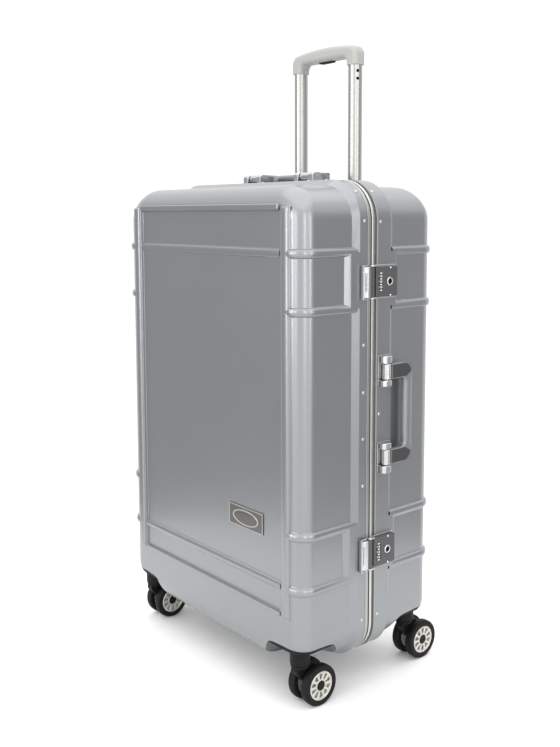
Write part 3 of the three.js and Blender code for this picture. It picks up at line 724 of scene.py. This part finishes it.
TUBE_BORE, TUBE_FOOT, TUBE_HEAD = 9.4, 560, 957.7
PIN_HOLES, PIN_HOLE_R, PIN_HOLE_TURN = (947.8, 935.5), 2.6, -0.42
GUIDE_BORE, GUIDE_R, GUIDE_FOOT, GUIDE_FLOOR, GUIDE_HEAD = 11.7, 12.2, 330, 333, 721.5
GRIP_HALF, GRIP_LEG, GRIP_FOOT, GRIP_UNDER, GRIP_SHOULDER, GRIP_CROWN = 79, 55, 940, 971, 987.5, 997.4
GRIP_THICK, GRIP_CORNER, GRIP_CROWN_R = 25, 9, 460
BEZEL_LOW, BEZEL_HIGH, BEZEL_HOLE = 722, 765.5, 11.8


def add_tube(name, side):
    """One trolley tube. The right one has the two pin holes that the photograph shows."""
    at = (side * TUBE_X, TUBE_Y, 0)
    wall = [(TUBE_BORE, TUBE_FOOT), (TUBE_R - 0.3, TUBE_FOOT), (TUBE_R, TUBE_FOOT + 0.3),
            (TUBE_R, TUBE_HEAD), (TUBE_BORE, TUBE_HEAD)]
    tube = turned(wall, 64, "z", at)
    if side > 0:
        toward = shift(at) @ Matrix.Rotation(PIN_HOLE_TURN, 4, "Z")
        tube = cut(tube, *[moved(rod("x", PIN_HOLE_R, 0, 14, (0, 0, z), 0), toward) for z in PIN_HOLES])
    piece(f"trolley_{name}_tube", tube, TUBE, "trolley", f"trolley_tube_{name}",
          sharp=40)


def add_guide(name, side):
    """The closed-ended tube inside the back half that a trolley tube slides in."""
    wall = [(GUIDE_BORE, GUIDE_FLOOR), (GUIDE_BORE, GUIDE_HEAD), (GUIDE_R, GUIDE_HEAD),
            (GUIDE_R, GUIDE_FOOT + 0.6), (GUIDE_R - 0.6, GUIDE_FOOT), (0, GUIDE_FOOT), (0, GUIDE_FLOOR)]
    guide = turned(wall, 48, "z", (side * TUBE_X, TUBE_Y, 0))
    piece(f"trolley_{name}_guide", guide, TUBE, "case_back", f"trolley_guide_{name}",
          sharp=40)


def grip_moulding():
    """A rounded bar with two short legs, hollowed for the button and cut level with the tubes' heads."""
    loop = rounded([(-GRIP_HALF, GRIP_FOOT), (-GRIP_LEG, GRIP_FOOT), (-GRIP_LEG, GRIP_UNDER),
                    (GRIP_LEG, GRIP_UNDER), (GRIP_LEG, GRIP_FOOT), (GRIP_HALF, GRIP_FOOT),
                    (GRIP_HALF, GRIP_SHOULDER), (0, GRIP_CROWN), (-GRIP_HALF, GRIP_SHOULDER)],
                   [GRIP_CORNER] * 6 + [15, GRIP_CROWN_R, 15], 10)
    stand = shift((0, TUBE_Y + GRIP_THICK / 2, 0)) @ Matrix.Rotation(QUARTER, 4, "X")
    return cut(moved(slab([loop], GRIP_THICK, 7.5, 7), stand),
               box(-16.4, 16.4, 116.6, 127.4, 960, 978, 1.0),
               box(-100, 100, 100, 150, 930, TUBE_HEAD + 0.2))


def button_cap():
    """The release button, with seven grip lines on its underside."""
    lines = [box(x - 0.5, x + 0.5, 118.5, 125.5, 968.3, 969.6, 0.3, 2) for x in range(-9, 10, 3)]
    return merge(box(-16, 16, 117, 127, 968.6, 974.4, 1.6, 4), *lines)


def bezel_moulding():
    """The black block at the case's top edge, with a raised collar round each tube."""
    holes = [rod("z", BEZEL_HOLE, 715, 770, (s * TUBE_X, TUBE_Y, 0), 0, 64) for s in (-1, 1)]
    block = cut(box(-86, 86, 106, 136.5, BEZEL_LOW, BEZEL_HIGH, 2.5, 4),
                *holes, box(-50, 50, 110, 132.5, BEZEL_HIGH - 2.2, 770, 1.5, 3))
    low, high = BEZEL_HIGH - 0.9, BEZEL_HIGH + 0.9
    ring = [(11.85, low), (11.85, high), (GUIDE_R, high), (13.4, BEZEL_HIGH - 0.1), (13.4, low)]
    return merge(block, *[turned(ring, 64, "z", (s * TUBE_X, TUBE_Y, 0)) for s in (-1, 1)])


for name, side in (("left", -1), ("right", 1)):
    add_tube(name, side)
    add_guide(name, side)
piece("trolley_grip_moulding", grip_moulding(), GRIP, "trolley", "trolley_grip", sharp=50)
piece("release_button_cap", button_cap(), BLACK, "release_button", "release_button")
piece("trolley_bezel_moulding", bezel_moulding(), BLACK, "case_back", "trolley_bezel")


# ------------ locks and catches
# Made in (back from the seam, up, out of the case), from the lock's middle.

DIAL_HEIGHTS, DIAL_X, DIAL_Z, DIAL_WIDTH = (8.0, 0.0, -8.0), 7.5, 4.9, 5.6
DIAL_R, DIAL_ROOT, DIAL_FLUTES, DIGITS, DIGIT_SIZE = 3.92, 3.7, 60, 10, 4.6
KEY_X, LEVER_HALF, LEVER_PIN, CATCH_HALF = 26, 21.9, (-8, 0, 5), 25


def lock_base(windows):
    """The bright plate under a lock, with the two ears and the pin that carry the lever."""
    plate = lifted(slab([rectangle(-3, 43, -24.5, 24.5, 3.0), *windows], 2.2, 0.5), 0.3)
    ear = rounded([(-12, 0.4), (-1, 0.4), (-1, 8.6), (-12, 8.6)], [0, 0, 2, 4], 5)
    ears = [prism(ear, *span(s, 22.3, 24.5), 0.4) for s in (-1, 1)]
    return merge(plate, *ears, rod("y", 1.6, -23.8, 23.8, LEVER_PIN))


def lock_cover(windows):
    """The dark plate with a window for each dial and a hole for the key, and a floor behind the dials."""
    cover = slab([rectangle(-2.6, 42.2, -22, 22, 2.6), *windows, circle(6.7, 48, KEY_X, 0)], 5.6, 1.0, 4)
    return merge(lifted(cover, 2.4), box(2.5, 12.5, -12, 12, 0.32, 0.8))


def lock_marks():
    """The reading marks beside the dials, and two small screws."""
    marks = [box(5.6, 9.4, y - 0.7, y + 0.7, 7.7, 8.15, 0.12, 2) for y in (12.3, 4, -4, -12.3)]
    return merge(*marks, *[moved(dome(1.3, 0.7), shift((27, s * 20.0, 8.0))) for s in (-1, 1)])


def key_ring():
    profile = [(4.1, 6.6), (4.1, 8.5), (4.6, 9.1), (5.5, 9.1), (6.4, 8.2), (6.4, 2.2), (5.0, 2.0),
               (5.0, 0.9), (0, 0.9), (0, 6.6)]
    return turned(profile, 48, "z", (KEY_X, 0, 0))


def key_core():
    """The plug of the key cylinder, with its slot."""
    return cut(rod("z", 4.05, 6.4, 8.0, (KEY_X, 0, 0), 0.3),
               box(KEY_X - 0.7, KEY_X + 0.7, -2.8, 2.8, 7.0, 9, 0))


def lever_claw():
    claw = rounded([(-24.6, 3.3), (-14.9, 3.3), (-14.9, 8.4), (-19, 8.4), (-25, 5.6)],
                   [0.8, 0, 0.6, 3, 0.9], 5)
    return merge(prism(claw, -LEVER_HALF, LEVER_HALF, 0.8), box(-23.6, -20.6, -14, 14, 6.6, 8.1, 0.6, 3))


def lever_flap():
    flap = rounded([(-14.8, 3.3), (-8, 3.3), (-6, 8.5), (-14.8, 8.5)], [0, 0, 1.5, 0.4], 4)
    return merge(prism(flap, -LEVER_HALF, LEVER_HALF, 0.6),
                 rod("y", 3.4, -LEVER_HALF, LEVER_HALF, LEVER_PIN, 0.6))


def catch_plate():
    """The plate on the front half that the claw hooks over, with a wall on three sides."""
    plate = lifted(slab([rectangle(-27.5, -12.5, -CATCH_HALF, CATCH_HALF, 1.5)], 2.4, 0.5), 0.3)
    walls = [box(-27.4, -15, *span(s, 23.4, CATCH_HALF), 0.6, 5.6, 0.5, 3) for s in (-1, 1)]
    return merge(plate, box(-27.5, -25.8, -CATCH_HALF, CATCH_HALF, 0.6, 7, 0.5, 3), *walls)


def digit(number, turn, radius):
    """A raised digit on a dial's rim, bent to the rim."""
    curve = bpy.data.curves.new("digit", "FONT")
    curve.body, curve.size, curve.extrude = str(number), DIGIT_SIZE, 0.12
    curve.align_x, curve.align_y = "CENTER", "CENTER"
    obj = add_object("digit", curve)
    verts, faces = evaluated(obj)
    bpy.data.objects.remove(obj)
    angle = verts[:, 0] / radius + turn
    reach = radius + verts[:, 2]
    return np.stack([reach * np.sin(angle), verts[:, 1], reach * np.cos(angle)], 1), faces


def add_dial(name, y, place):
    """A fluted wheel on an axle along the case, with ten digits round its rim."""
    radii = [DIAL_R if i % 6 in (0, 1, 5) else DIAL_ROOT for i in range(DIAL_FLUTES)]
    flutes = [(r * c, r * s) for r, (c, s) in zip(radii, circle(1, DIAL_FLUTES))]
    wheel = moved(slab([flutes, circle(1.6, 24)], DIAL_WIDTH, 0.3, 2),
                  shift((DIAL_X, y + DIAL_WIDTH / 2, DIAL_Z)) @ Matrix.Rotation(QUARTER, 4, "X"))
    digits = merge(*[digit(n, -tau * n / DIGITS, 3.86) for n in range(DIGITS)])
    digits = moved(digits, shift((DIAL_X, y, DIAL_Z)))
    piece(f"{name}_wheel", wheel, DIAL, name, name, place=place)
    piece(f"{name}_digits", digits, DIGIT, name, place=place, sharp=50, weighted=False)


def add_lock(name, height):
    place = place_at((HALF_WIDTH, 0, height), (0, 0, 1), (1, 0, 0))
    windows = [rectangle(2.9, 12.1, y - 3.4, y + 3.4, 0.6, 3) for y in DIAL_HEIGHTS]
    key, lever = f"{name}_key", f"{name}_lever"
    piece(f"{name}_lock_base", lock_base(windows), CHROME, "case_back", place=place)
    piece(f"{name}_lock_cover", lock_cover(windows), LOCK, "case_back", f"{name}_lock_body",
          place=place)
    piece(f"{name}_lock_marks", lock_marks(), DIGIT, "case_back", place=place)
    for i, y in enumerate(DIAL_HEIGHTS):
        add_dial(f"{name}_dial_{i + 1}", y, place)
    piece(f"{name}_key_ring", key_ring(), CHROME, key, f"{name}_key_cylinder", place=place)
    piece(f"{name}_key_core", key_core(), BLACK, key, place=place)
    piece(f"{name}_lock_claw", lever_claw(), CHROME, lever, f"{name}_lock_lever", place=place)
    piece(f"{name}_lock_flap", lever_flap(), LOCK, lever, place=place)
    piece(f"{name}_catch_plate", catch_plate(), CHROME, "case_front", f"{name}_catch",
          place=place)


for lock_name, lock_height in LOCKS.items():
    add_lock(lock_name, lock_height)


# ------------ carrying handles
# Made in the same axes as the locks, from the handle's middle.

BAIL_HALF, BAIL_FOOT, BAIL_REACH, BAIL_TURN = 64, 17.5, 63, 17
PIVOT = (20, 0, 9)


def bail_section(t):
    """Flat and wide at the arms, rounder and narrower along the grip; t runs from 0 to 1 along the bail."""
    grip = max(0.0, min(1.0, (min(t, 1 - t) - 0.17) / 0.11))
    grip = grip * grip * (3 - 2 * grip)
    half = 11.6 - 2.7 * grip
    return [(a, PIVOT[2] + b) for a, b in superellipse(half, 5.9 + 0.3 * grip, 7 - 4.4 * grip, 48)]


def bail():
    path = rounded([(BAIL_FOOT, BAIL_HALF), (BAIL_REACH, BAIL_HALF), (BAIL_REACH, -BAIL_HALF),
                    (BAIL_FOOT, -BAIL_HALF)], [0, BAIL_TURN, BAIL_TURN, 0], 12, closed=False)
    dense = []
    for (x0, y0), (x1, y1) in zip(path, path[1:]):
        cuts = max(1, round(hypot(x1 - x0, y1 - y0) / 3))
        dense += [(x0 + (x1 - x0) * i / cuts, y0 + (y1 - y0) * i / cuts) for i in range(cuts)]
    dense.append(path[-1])
    return cut(sweep(dense, bail_section), *[rod("y", 7.6, *span(s, 50, 90), PIVOT, 0) for s in (-1, 1)])


def bail_inlays():
    """The dark faces of the two arms."""
    loops = [rounded([(26.5, s * 54), (57, s * 54), (66, s * 60), (66, s * 74), (26.5, s * 74)],
                     [0.8, 5, 4, 13, 0.8], 8) for s in (-1, 1)]
    return merge(*[lifted(slab([loop], 3.4, 0.4, 2), 11.7) for loop in loops])


def bail_knuckles():
    return merge(*[boolean(rod("y", 6.5, *span(s, 52.4, 75.6), PIVOT, 0.8),
                           ("UNION", box(20, 30, *span(s, 53, 75), 4.2, 13.8, 0.8, 3))) for s in (-1, 1)])


def handle_bracket(s):
    """The bracket at one end: a base, an ear on each side of the knuckle, the pin and two screws."""
    base = lifted(slab([rectangle(9, 36, *span(s, 42, 88), 2.5)], 1.7, 0.4), 0.3)
    ear = rounded([(9.4, 0.6), (33, 0.6), (28, 9), (26.5, 15.4), (13.5, 15.4), (9.4, 12)],
                  [0, 0, 3, 5, 5, 2], 6)
    ears = [prism(ear, *span(s, a, b), 0.7) for a, b in ((42.4, 51.4), (76.6, 87.6))]
    pin = rod("y", 2.4, *span(s, 43, 87.8), PIVOT, 0.4)
    screws = [moved(dome(2.0, 0.8), shift((33.4, s * y, 2.0))) for y in (47, 83)]
    return merge(base, *ears, pin, *screws)


def add_handle(name, ends, place):
    piece(f"{name}_grip", bail(), HANDLE, name, f"{name}_bail", place=place, sharp=45)
    piece(f"{name}_inlays", bail_inlays(), ARM, name, place=place)
    piece(f"{name}_knuckles", bail_knuckles(), CHROME, name, place=place)
    for s, end in zip((1, -1), ends):
        piece(f"{name}_bracket_{end}", handle_bracket(s), CHROME, "case_back",
              f"{name}_lug_{end}", place=place)


add_handle("side_handle", ("upper", "lower"), place_at((HALF_WIDTH, 0, 423), (0, 0, 1), (1, 0, 0)))
add_handle("top_handle", ("left", "right"), place_at((0, 0, TOP), (-1, 0, 0), (0, 0, 1)))


# ------------ hinges

HINGE_AT, HINGE_HALF, KNUCKLE_HALF, KNUCKLE_R = (-234.5, -3.5, 0), 35, 11.5, 4
LEAF, LEAF_THICK, SCREW_HEIGHTS = -HALF_WIDTH - 0.3, 2.0, (-26, -9, 9, 26)


def hinge_leaf(y0, y1, low, high):
    verts, faces = slab([rectangle(y0, y1, low, high, 3.0)], LEAF_THICK, 0.4)
    return verts[:, [2, 0, 1]] * (-1, 1, 1) + (LEAF, 0, 0), faces


def hinge_screws(y, height):
    turn = Matrix.Rotation(-QUARTER, 4, "Y")
    return [moved(dome(2.8, 0.9), shift((LEAF - LEAF_THICK, y, height + dz)) @ turn) for dz in SCREW_HEIGHTS]


def add_hinge(name, height):
    """A front leaf with one knuckle, between the two knuckles of the back leaf, which has the pin."""
    low, high = height - HINGE_HALF, height + HINGE_HALF
    mid_low, mid_high = height - KNUCKLE_HALF, height + KNUCKLE_HALF
    knuckle = [(2.3, mid_low), (3.6, mid_low), (KNUCKLE_R, mid_low + 0.4), (KNUCKLE_R, mid_high - 0.4),
               (3.6, mid_high), (2.3, mid_high)]
    front = merge(hinge_leaf(-31, -7, low, high),
                  box(LEAF - LEAF_THICK, LEAF, -8, -4.2, mid_low, mid_high, 0.2, 2),
                  turned(knuckle, 40, "z", HINGE_AT), *hinge_screws(-21, height))
    back = [hinge_leaf(0, 24, low, high), *hinge_screws(14, height),
            rod("z", 1.9, low + 0.4, high - 0.4, HINGE_AT)]
    for a, b in ((low, mid_low - 0.5), (mid_high + 0.5, high)):
        back += [rod("z", KNUCKLE_R, a, b, HINGE_AT), box(LEAF - LEAF_THICK, LEAF, -3, 1, a, b, 0.2, 2)]
    piece(f"{name}_hinge_leaf_front", front, STEEL, "case_front", f"{name}_hinge_front")
    piece(f"{name}_hinge_leaf_back", merge(*back), STEEL, "case_back", f"{name}_hinge_back")


for lock_name, lock_height in LOCKS.items():
    add_hinge(lock_name, lock_height)


# ------------ casters

SPOKES, WINDOW_SHARE, AXLE = 10, 0.62, (0, TRAIL, WHEEL_R)
WEB_THICK, STEM_R, HUB_R, TRIM_THICK = 13.2, 6.4, 9.0, 2.2
TYRE_PROFILE = [(21.6, 7.2), (27.5, 7.0), (29.4, 7.6), (30.35, 9.2), (WHEEL_R, 11.5), (WHEEL_R, 16),
                (30.35, 18.3), (29.4, 19.9), (27.5, 20.5), (24.2, 20.5), (22.6, 20.1), (21.2, 19.6),
                (21.2, 8)]
BARREL_PROFILE = [(2.8, 7.3), (8.6, 7.3), (9.0, 9.5), (18.8, 11.0), (19.4, 7.6), (21.4, 7.4), (21.4, 19.9),
                  (20.3, 20.4), (19.5, 19.9), (18.9, 15.6), (9.4, 15.2), (2.8, 15.2)]
CAP_PROFILE = [(0, 18.6), (6.9, 18.6), (6.9, 20.0), (6.3, 20.4), (2.2, 20.4), (1.6, 19.9), (0, 19.9)]
COLLAR_PROFILE = [(0, 61.8), (12.6, 61.8), (14, 62.8), (14, 65.2), (13.2, 66.0), (6, 66.0), (6, 85.6),
                  (0, 86)]
BOSS_PROFILE = [(STEM_R, 66.3), (13.6, 66.3), (15, 67.6), (15, 84), (20, 89), (20, 89.5), (STEM_R, 89.5)]


def fork_outline():
    arc = [(TRAIL + HUB_R * cos(a), WHEEL_R + HUB_R * sin(a)) for a in np.linspace(0.35, -2.4, 16)]
    head = rounded([(-12, 63), (20, 63), (34, 52), arc[0]], [2, 12, 8, 0], 6, closed=False)
    tail = rounded([arc[-1], (0, 41), (-13, 55), (-12, 63)], [0, 12, 8, 0], 6, closed=False)
    return head[1:-1] + arc + tail[1:-1] + [(-12, 61), (-10.5, 63)]


def rim_windows(inner, outer):
    """The openings between the spokes, as outlines round the wheel's middle."""
    loops, half = [], pi / SPOKES * WINDOW_SHARE
    for i in range(SPOKES):
        middle = tau * i / SPOKES
        polar = ((inner, -half * 0.75), (outer, -half), (outer + 0.5, 0), (outer, half), (inner, half * 0.75))
        corners = [(r * cos(middle + a), r * sin(middle + a)) for r, a in polar]
        loops.append(rounded(corners, [0.8, 1.0, 0, 1.0, 0.8], 3))
    return loops


def caster_seat(half, x_side, x, y):
    """The black lining of a caster pocket, with the boss for the stem and three screws."""
    facing = half["side"]
    room = core(STEP + 1, facing * 20, half["face"] - facing)
    ceiling = boolean(pocket(x, y, -0.3), ("INTERSECT", room),
                      ("INTERSECT", box(x - 90, x + 90, y - 90, y + 90, 89, 120)))
    places = ((-24, -4), (4, facing * -27), (24, 4) if x_side < 0 else (-4, facing * -24))
    screws = [moved(rod("z", 3.2, 86.6, 89.2, (0, 0, 0), 0.6, 6), shift((x + dx, y + dy, 0)))
              for dx, dy in places]
    return merge(ceiling, turned(BOSS_PROFILE, 48, "z", (x, y, 0)), *screws)


def pocket_trim(half, x_side, x, y):
    """The black line along a pocket's outer edge: where its sleeve meets the shell's surface."""
    facing, rim = half["side"], half["rim"] + half["side"]
    sleeve = cut(pocket(x, y, -0.05), pocket(x, y, -1.8))
    diagonal = shift((x, y, 0)) @ Matrix.Rotation(atan2(facing, x_side), 4, "Z")
    return boolean(sleeve, ("INTERSECT", core(STEP - 0.05, rim, half["face"])),
                   ("DIFFERENCE", core(STEP + TRIM_THICK, rim, half["face"] - facing * TRIM_THICK)),
                   ("DIFFERENCE", moved(box(-90, 16, -90, 90, 30, 120), diagonal)))


def caster_arm():
    """The flat fork between the two wheels, and the collar and stem above it."""
    to_web = Matrix(((0, 0, 1, -WEB_THICK / 2), (1, 0, 0, 0), (0, 1, 0, 0), (0, 0, 0, 1)))
    web = moved(slab([fork_outline()], WEB_THICK, 1.4, 3), to_web)
    return merge(cut(web, rod("x", 2.8, -8, 8, AXLE, 0)), turned(COLLAR_PROFILE, 48))


def add_wheel(name, which, s, to_caster):
    """The wheel is made with its axle along z and then turned to lie along x."""
    face = slab([circle(20.2, 72), circle(7.4, 40), *rim_windows(9.6, 18.0)], 3.2, 0.7, 3)
    turn = shift(AXLE) @ Matrix.Rotation(s * QUARTER, 4, "Y")
    body = f"wheel_{name}_{which}"
    piece(f"tyre_{name}_{which}", moved(turned(TYRE_PROFILE, 72), turn), TYRE, body, body,
          place=to_caster, sharp=45)
    rim = merge(turned(BARREL_PROFILE, 64), lifted(face, 16.4))
    piece(f"rim_{name}_{which}", moved(rim, turn), RIM, body, place=to_caster)


def add_caster(half_name, x_side):
    half = HALVES[half_name]
    name = f"{half_name}_{'left' if x_side < 0 else 'right'}"
    swivel = f"caster_{name}"
    x, y = x_side * CASTER_X, half["side"] * CASTER_Y
    to_caster = shift((x, y, 0))
    piece(f"caster_seat_{name}", caster_seat(half, x_side, x, y), BLACK, half["body"],
          f"caster_mount_{name}")
    piece(f"pocket_trim_{name}", pocket_trim(half, x_side, x, y), BLACK, half["body"],
          sharp=40)
    piece(f"caster_arm_{name}", caster_arm(), BLACK, swivel, f"caster_fork_{name}",
          place=to_caster, sharp=40)
    caps = [moved(turned(CAP_PROFILE, 40, "x"), shift(AXLE) @ Matrix.Scale(s, 4, (1, 0, 0))) for s in (-1, 1)]
    piece(f"caster_pin_{name}", rod("x", 2.5, -19, 19, AXLE), STEEL, swivel,
          f"caster_axle_{name}", place=to_caster)
    piece(f"caster_caps_{name}", merge(*caps), BLACK, swivel, place=to_caster)
    for which, s in (("a", -1), ("b", 1)):
        add_wheel(name, which, s, to_caster)


for half_name in HALVES:
    for x_side in (-1, 1):
        add_caster(half_name, x_side)


# ------------ lining and straps

CLOTH_INSET, CLOTH_THICK, CLOTH_VOXEL, CLOTH_ROOM = 5.2, 0.0008, 6.0, 1.8
GUIDE_ROOM, GUIDE_ROOM_FOOT, BEZEL_ROOM = 14.5, 328, 88.5
STRAP_WIDTH, STRAP_THICK, STRAP_Y, STRAP_Z = 30, 1.5, 101, 425
STRAP_HALF, STRAP_RISE = 205, 175


def lining(half_name, rim, rooms):
    """Cloth over the inside of a half: the room inside as one volume, remeshed and opened at the rim."""
    half = HALVES[half_name]
    side, face = half["side"], half["face"]
    depth = face - side * (6.4 if side < 0 else 4.4)
    obj = add_object("volume", to_mesh("volume", cut(core(STEP + CLOTH_INSET, rim, depth), *rooms)))
    remesh = obj.modifiers.new("remesh", "REMESH")
    remesh.mode, remesh.voxel_size = "VOXEL", CLOTH_VOXEL
    smooth = obj.modifiers.new("smooth", "SMOOTH")
    smooth.factor, smooth.iterations = 0.5, 3
    verts, faces = evaluated(obj)
    bpy.data.objects.remove(obj)
    for i, (x, y, z) in enumerate(verts):
        deep = min(1.0, abs(y - rim) / 25)
        slow = noise.noise(Vector((x, y * 1.6, z * 0.35)) * 0.03)
        wave = slow + 0.5 * noise.noise(Vector((x, y, z)) * 0.06)
        inward = Vector((-x, (rim - y) * 0.6, 420 - z)).normalized()
        verts[i] += inward * (0.9 + 0.9 * wave) * deep
    opened = [f for f in faces if side * (sum(verts[i][1] for i in f) / len(f) - rim) > 2.5]
    keep = sorted({i for f in opened for i in f})
    index = {old: new for new, old in enumerate(keep)}
    return verts[keep], [tuple(index[i] for i in f) for f in opened]


def caster_rooms(side):
    return [pocket(x * CASTER_X, side * CASTER_Y, WALL + CLOTH_ROOM, 48) for x in (-1, 1)]


def trolley_rooms():
    """Where the back lining bulges inwards, round the two guides and under the bezel."""
    guides = [box(s * TUBE_X - GUIDE_ROOM, s * TUBE_X + GUIDE_ROOM, TUBE_Y - GUIDE_ROOM, 150,
                  GUIDE_ROOM_FOOT, TOP) for s in (-1, 1)]
    return guides + [box(-BEZEL_ROOM, BEZEL_ROOM, 103.5, 150, 719.5, 780)]


cloth = {
    "front": lining("front", -14.0, caster_rooms(-1)),
    "back": lining("back", 9.5, caster_rooms(1) + trolley_rooms()),
}
for half_name, shape in cloth.items():
    obj = piece(f"{half_name}_lining_cloth", shape, LINING, HALVES[half_name]["body"],
                f"{half_name}_lining", sharp=180, weighted=False)
    thick = obj.modifiers.new("thickness", "SOLIDIFY")
    thick.thickness, thick.offset = CLOTH_THICK, 0


def strap(turn, lift):
    """A flat band across the back half, bowed by `lift` at its middle."""
    length, rows = 2 * hypot(STRAP_HALF, STRAP_RISE), 81
    half = STRAP_WIDTH / 2
    rings = []
    for i in range(rows):
        s = (i / (rows - 1) - 0.5) * length
        sag = lift * cos(s / length * pi)
        section = rounded([(-half, 0), (half, 0), (half, STRAP_THICK), (-half, STRAP_THICK)], 0.5, 2)
        rings.append([(s, STRAP_Y + sag + up, across) for across, up in section])
    return moved(loft(rings), shift((0, 0, STRAP_Z)) @ Matrix.Rotation(turn, 4, "Y"))


strap_turn = atan2(STRAP_RISE, STRAP_HALF)
strap_length = 2 * hypot(STRAP_HALF, STRAP_RISE) * MM
first = piece("packing_strap_a", strap(strap_turn, -1.2), WEBBING, "case_back",
              "packing_strap")
second = piece("packing_strap_b", strap(-strap_turn, -3.0), WEBBING, "case_back")
buckle = slab([rectangle(-24, 24, -20, 20, 5), rectangle(-15, 15, -11, 11, 2)], 5, 1.2, 3)
buckle_place = shift((0, STRAP_Y + 0.5, STRAP_Z)) @ Matrix.Rotation(QUARTER, 4, "X")
piece("strap_buckle", buckle, BLACK, "case_back", place=buckle_place)


# ------------ floor, light and camera

FLOOR_RADIUS, FLOOR_SIDES, OVERHEAD_POWER, OVERHEAD_ANGLE = 0.78, 180, 1.4, 1.6
STRIP_DISTANCE, STRIP_HEIGHT, STRIP_SIZE = 3.3, 1.3, (0.3, 2.4)
STRIPS = ((-108, 24), (-84, 13), (-30, 13), (4, 13))  # each is the turn in degrees and the power
CAMERA_YAW, CAMERA_PITCH, CAMERA_ROLL = radians(49.743), radians(6.057), -0.0024
CAMERA_AT = Vector((1139.69, -942.67 + SHIFT, 716.44)) * MM
CAMERA_LENS, CAMERA_SENSOR, CAMERA_SHIFT = 43.59, 36, (-0.0038, -0.0845)

# The world's brightness depends on the direction, along a fixed line toward the photograph's camera:
# each stop is the place from behind the object (0) to the camera's side (1), and the brightness there.
CAMERA_SIDE = (0.62, -0.785, 0.0)
WORLD_STOPS = [(0.0, 1.12), (0.27, 1.12), (0.37, 0.56), (0.62, 0.5), (0.76, 1.4), (1.0, 1.4)]
SKY_LOW, SKY_HIGH, SKY_LIGHT = 0.05, 0.5, 1.3


def stage_floor():
    """A white disc. One of 5 m makes the shell's front much lighter than it is in the photograph."""
    mesh = bpy.data.meshes.new("floor")
    rim = [(x, y, 0) for x, y in circle(FLOOR_RADIUS, FLOOR_SIDES)]
    mesh.from_pydata(rim, [], [tuple(range(FLOOR_SIDES))])
    mesh.materials.append(speckled("floor_paint", (0.86, 0.86, 0.86), 0.9, 0.0, 30.0, (0.995, 1.005), 0.01))
    add_object("floor", mesh)


def strip_light(name, turn, power):
    """An upright strip light that isn't seen itself, `turn` degrees round from the x axis."""
    light = bpy.data.lights.new(name, "AREA")
    light.shape, light.size, light.size_y = "RECTANGLE", *STRIP_SIZE
    light.energy = power
    obj = add_object(name, light)
    at = Matrix.Rotation(radians(turn), 3, "Z") @ Vector((STRIP_DISTANCE, 0, STRIP_HEIGHT))
    obj.location = at
    obj.rotation_mode = "QUATERNION"
    obj.rotation_quaternion = (at - Vector((0, 0, STRIP_HEIGHT))).to_track_quat("Z", "Y")
    obj.visible_camera = False


def overhead():
    """A very soft light from straight above, the same all over the floor."""
    light = bpy.data.lights.new("overhead", "SUN")
    light.energy, light.angle = OVERHEAD_POWER, OVERHEAD_ANGLE
    add_object("overhead", light)


def camera():
    level = cos(CAMERA_PITCH)
    forward = Vector((-sin(CAMERA_YAW) * level, cos(CAMERA_YAW) * level, -sin(CAMERA_PITCH)))
    right = Vector((cos(CAMERA_YAW), sin(CAMERA_YAW), 0))
    up = right.cross(forward)
    c, s = cos(CAMERA_ROLL), sin(CAMERA_ROLL)
    right, up = c * right + s * up, c * up - s * right
    data = bpy.data.cameras.new("camera")
    data.lens, data.sensor_width = CAMERA_LENS, CAMERA_SENSOR
    data.shift_x, data.shift_y = CAMERA_SHIFT
    obj = add_object("camera", data)
    m = Matrix((right, up, -forward)).transposed().to_4x4()
    m.translation = CAMERA_AT
    obj.matrix_world = m
    bpy.context.scene.camera = obj


def world():
    made = bpy.data.worlds.new("studio")
    made.use_nodes = True
    node, links = node_maker(made.node_tree)
    direction = node("ShaderNodeTexCoord").outputs["Generated"]
    along = node("ShaderNodeVectorMath", {"operation": "DOT_PRODUCT"}, Vector=direction)
    along.inputs[1].default_value = CAMERA_SIDE
    spread = node("ShaderNodeMapRange", Value=along.outputs["Value"], From_Min=-1, From_Max=1)
    ramp = node("ShaderNodeValToRGB", Fac=spread.outputs["Result"])
    stops = ramp.color_ramp.elements
    while len(stops) < len(WORLD_STOPS):
        stops.new(0.5)
    for stop, (position, grey) in zip(stops, WORLD_STOPS):
        stop.position, stop.color = position, (grey, grey, grey, 1)
    ramp.color_ramp.interpolation = "EASE"
    height = node("ShaderNodeSeparateXYZ", Vector=direction).outputs["Z"]
    sky = node("ShaderNodeMapRange", {"interpolation_type": "SMOOTHSTEP"}, Value=height,
               From_Min=SKY_LOW, From_Max=SKY_HIGH, To_Max=SKY_LIGHT)
    brighter = node("ShaderNodeMath", {"operation": "MAXIMUM"})
    links.new(ramp.outputs["Color"], brighter.inputs[0])
    links.new(sky.outputs["Result"], brighter.inputs[1])
    links.new(brighter.outputs["Value"], made.node_tree.nodes["Background"].inputs["Color"])
    bpy.context.scene.world = made


stage_floor()
world()
overhead()
for i, (turn, power) in enumerate(STRIPS):
    strip_light(f"strip_{i}", turn, power)
camera()
bpy.context.scene.view_settings.view_transform = "Standard"
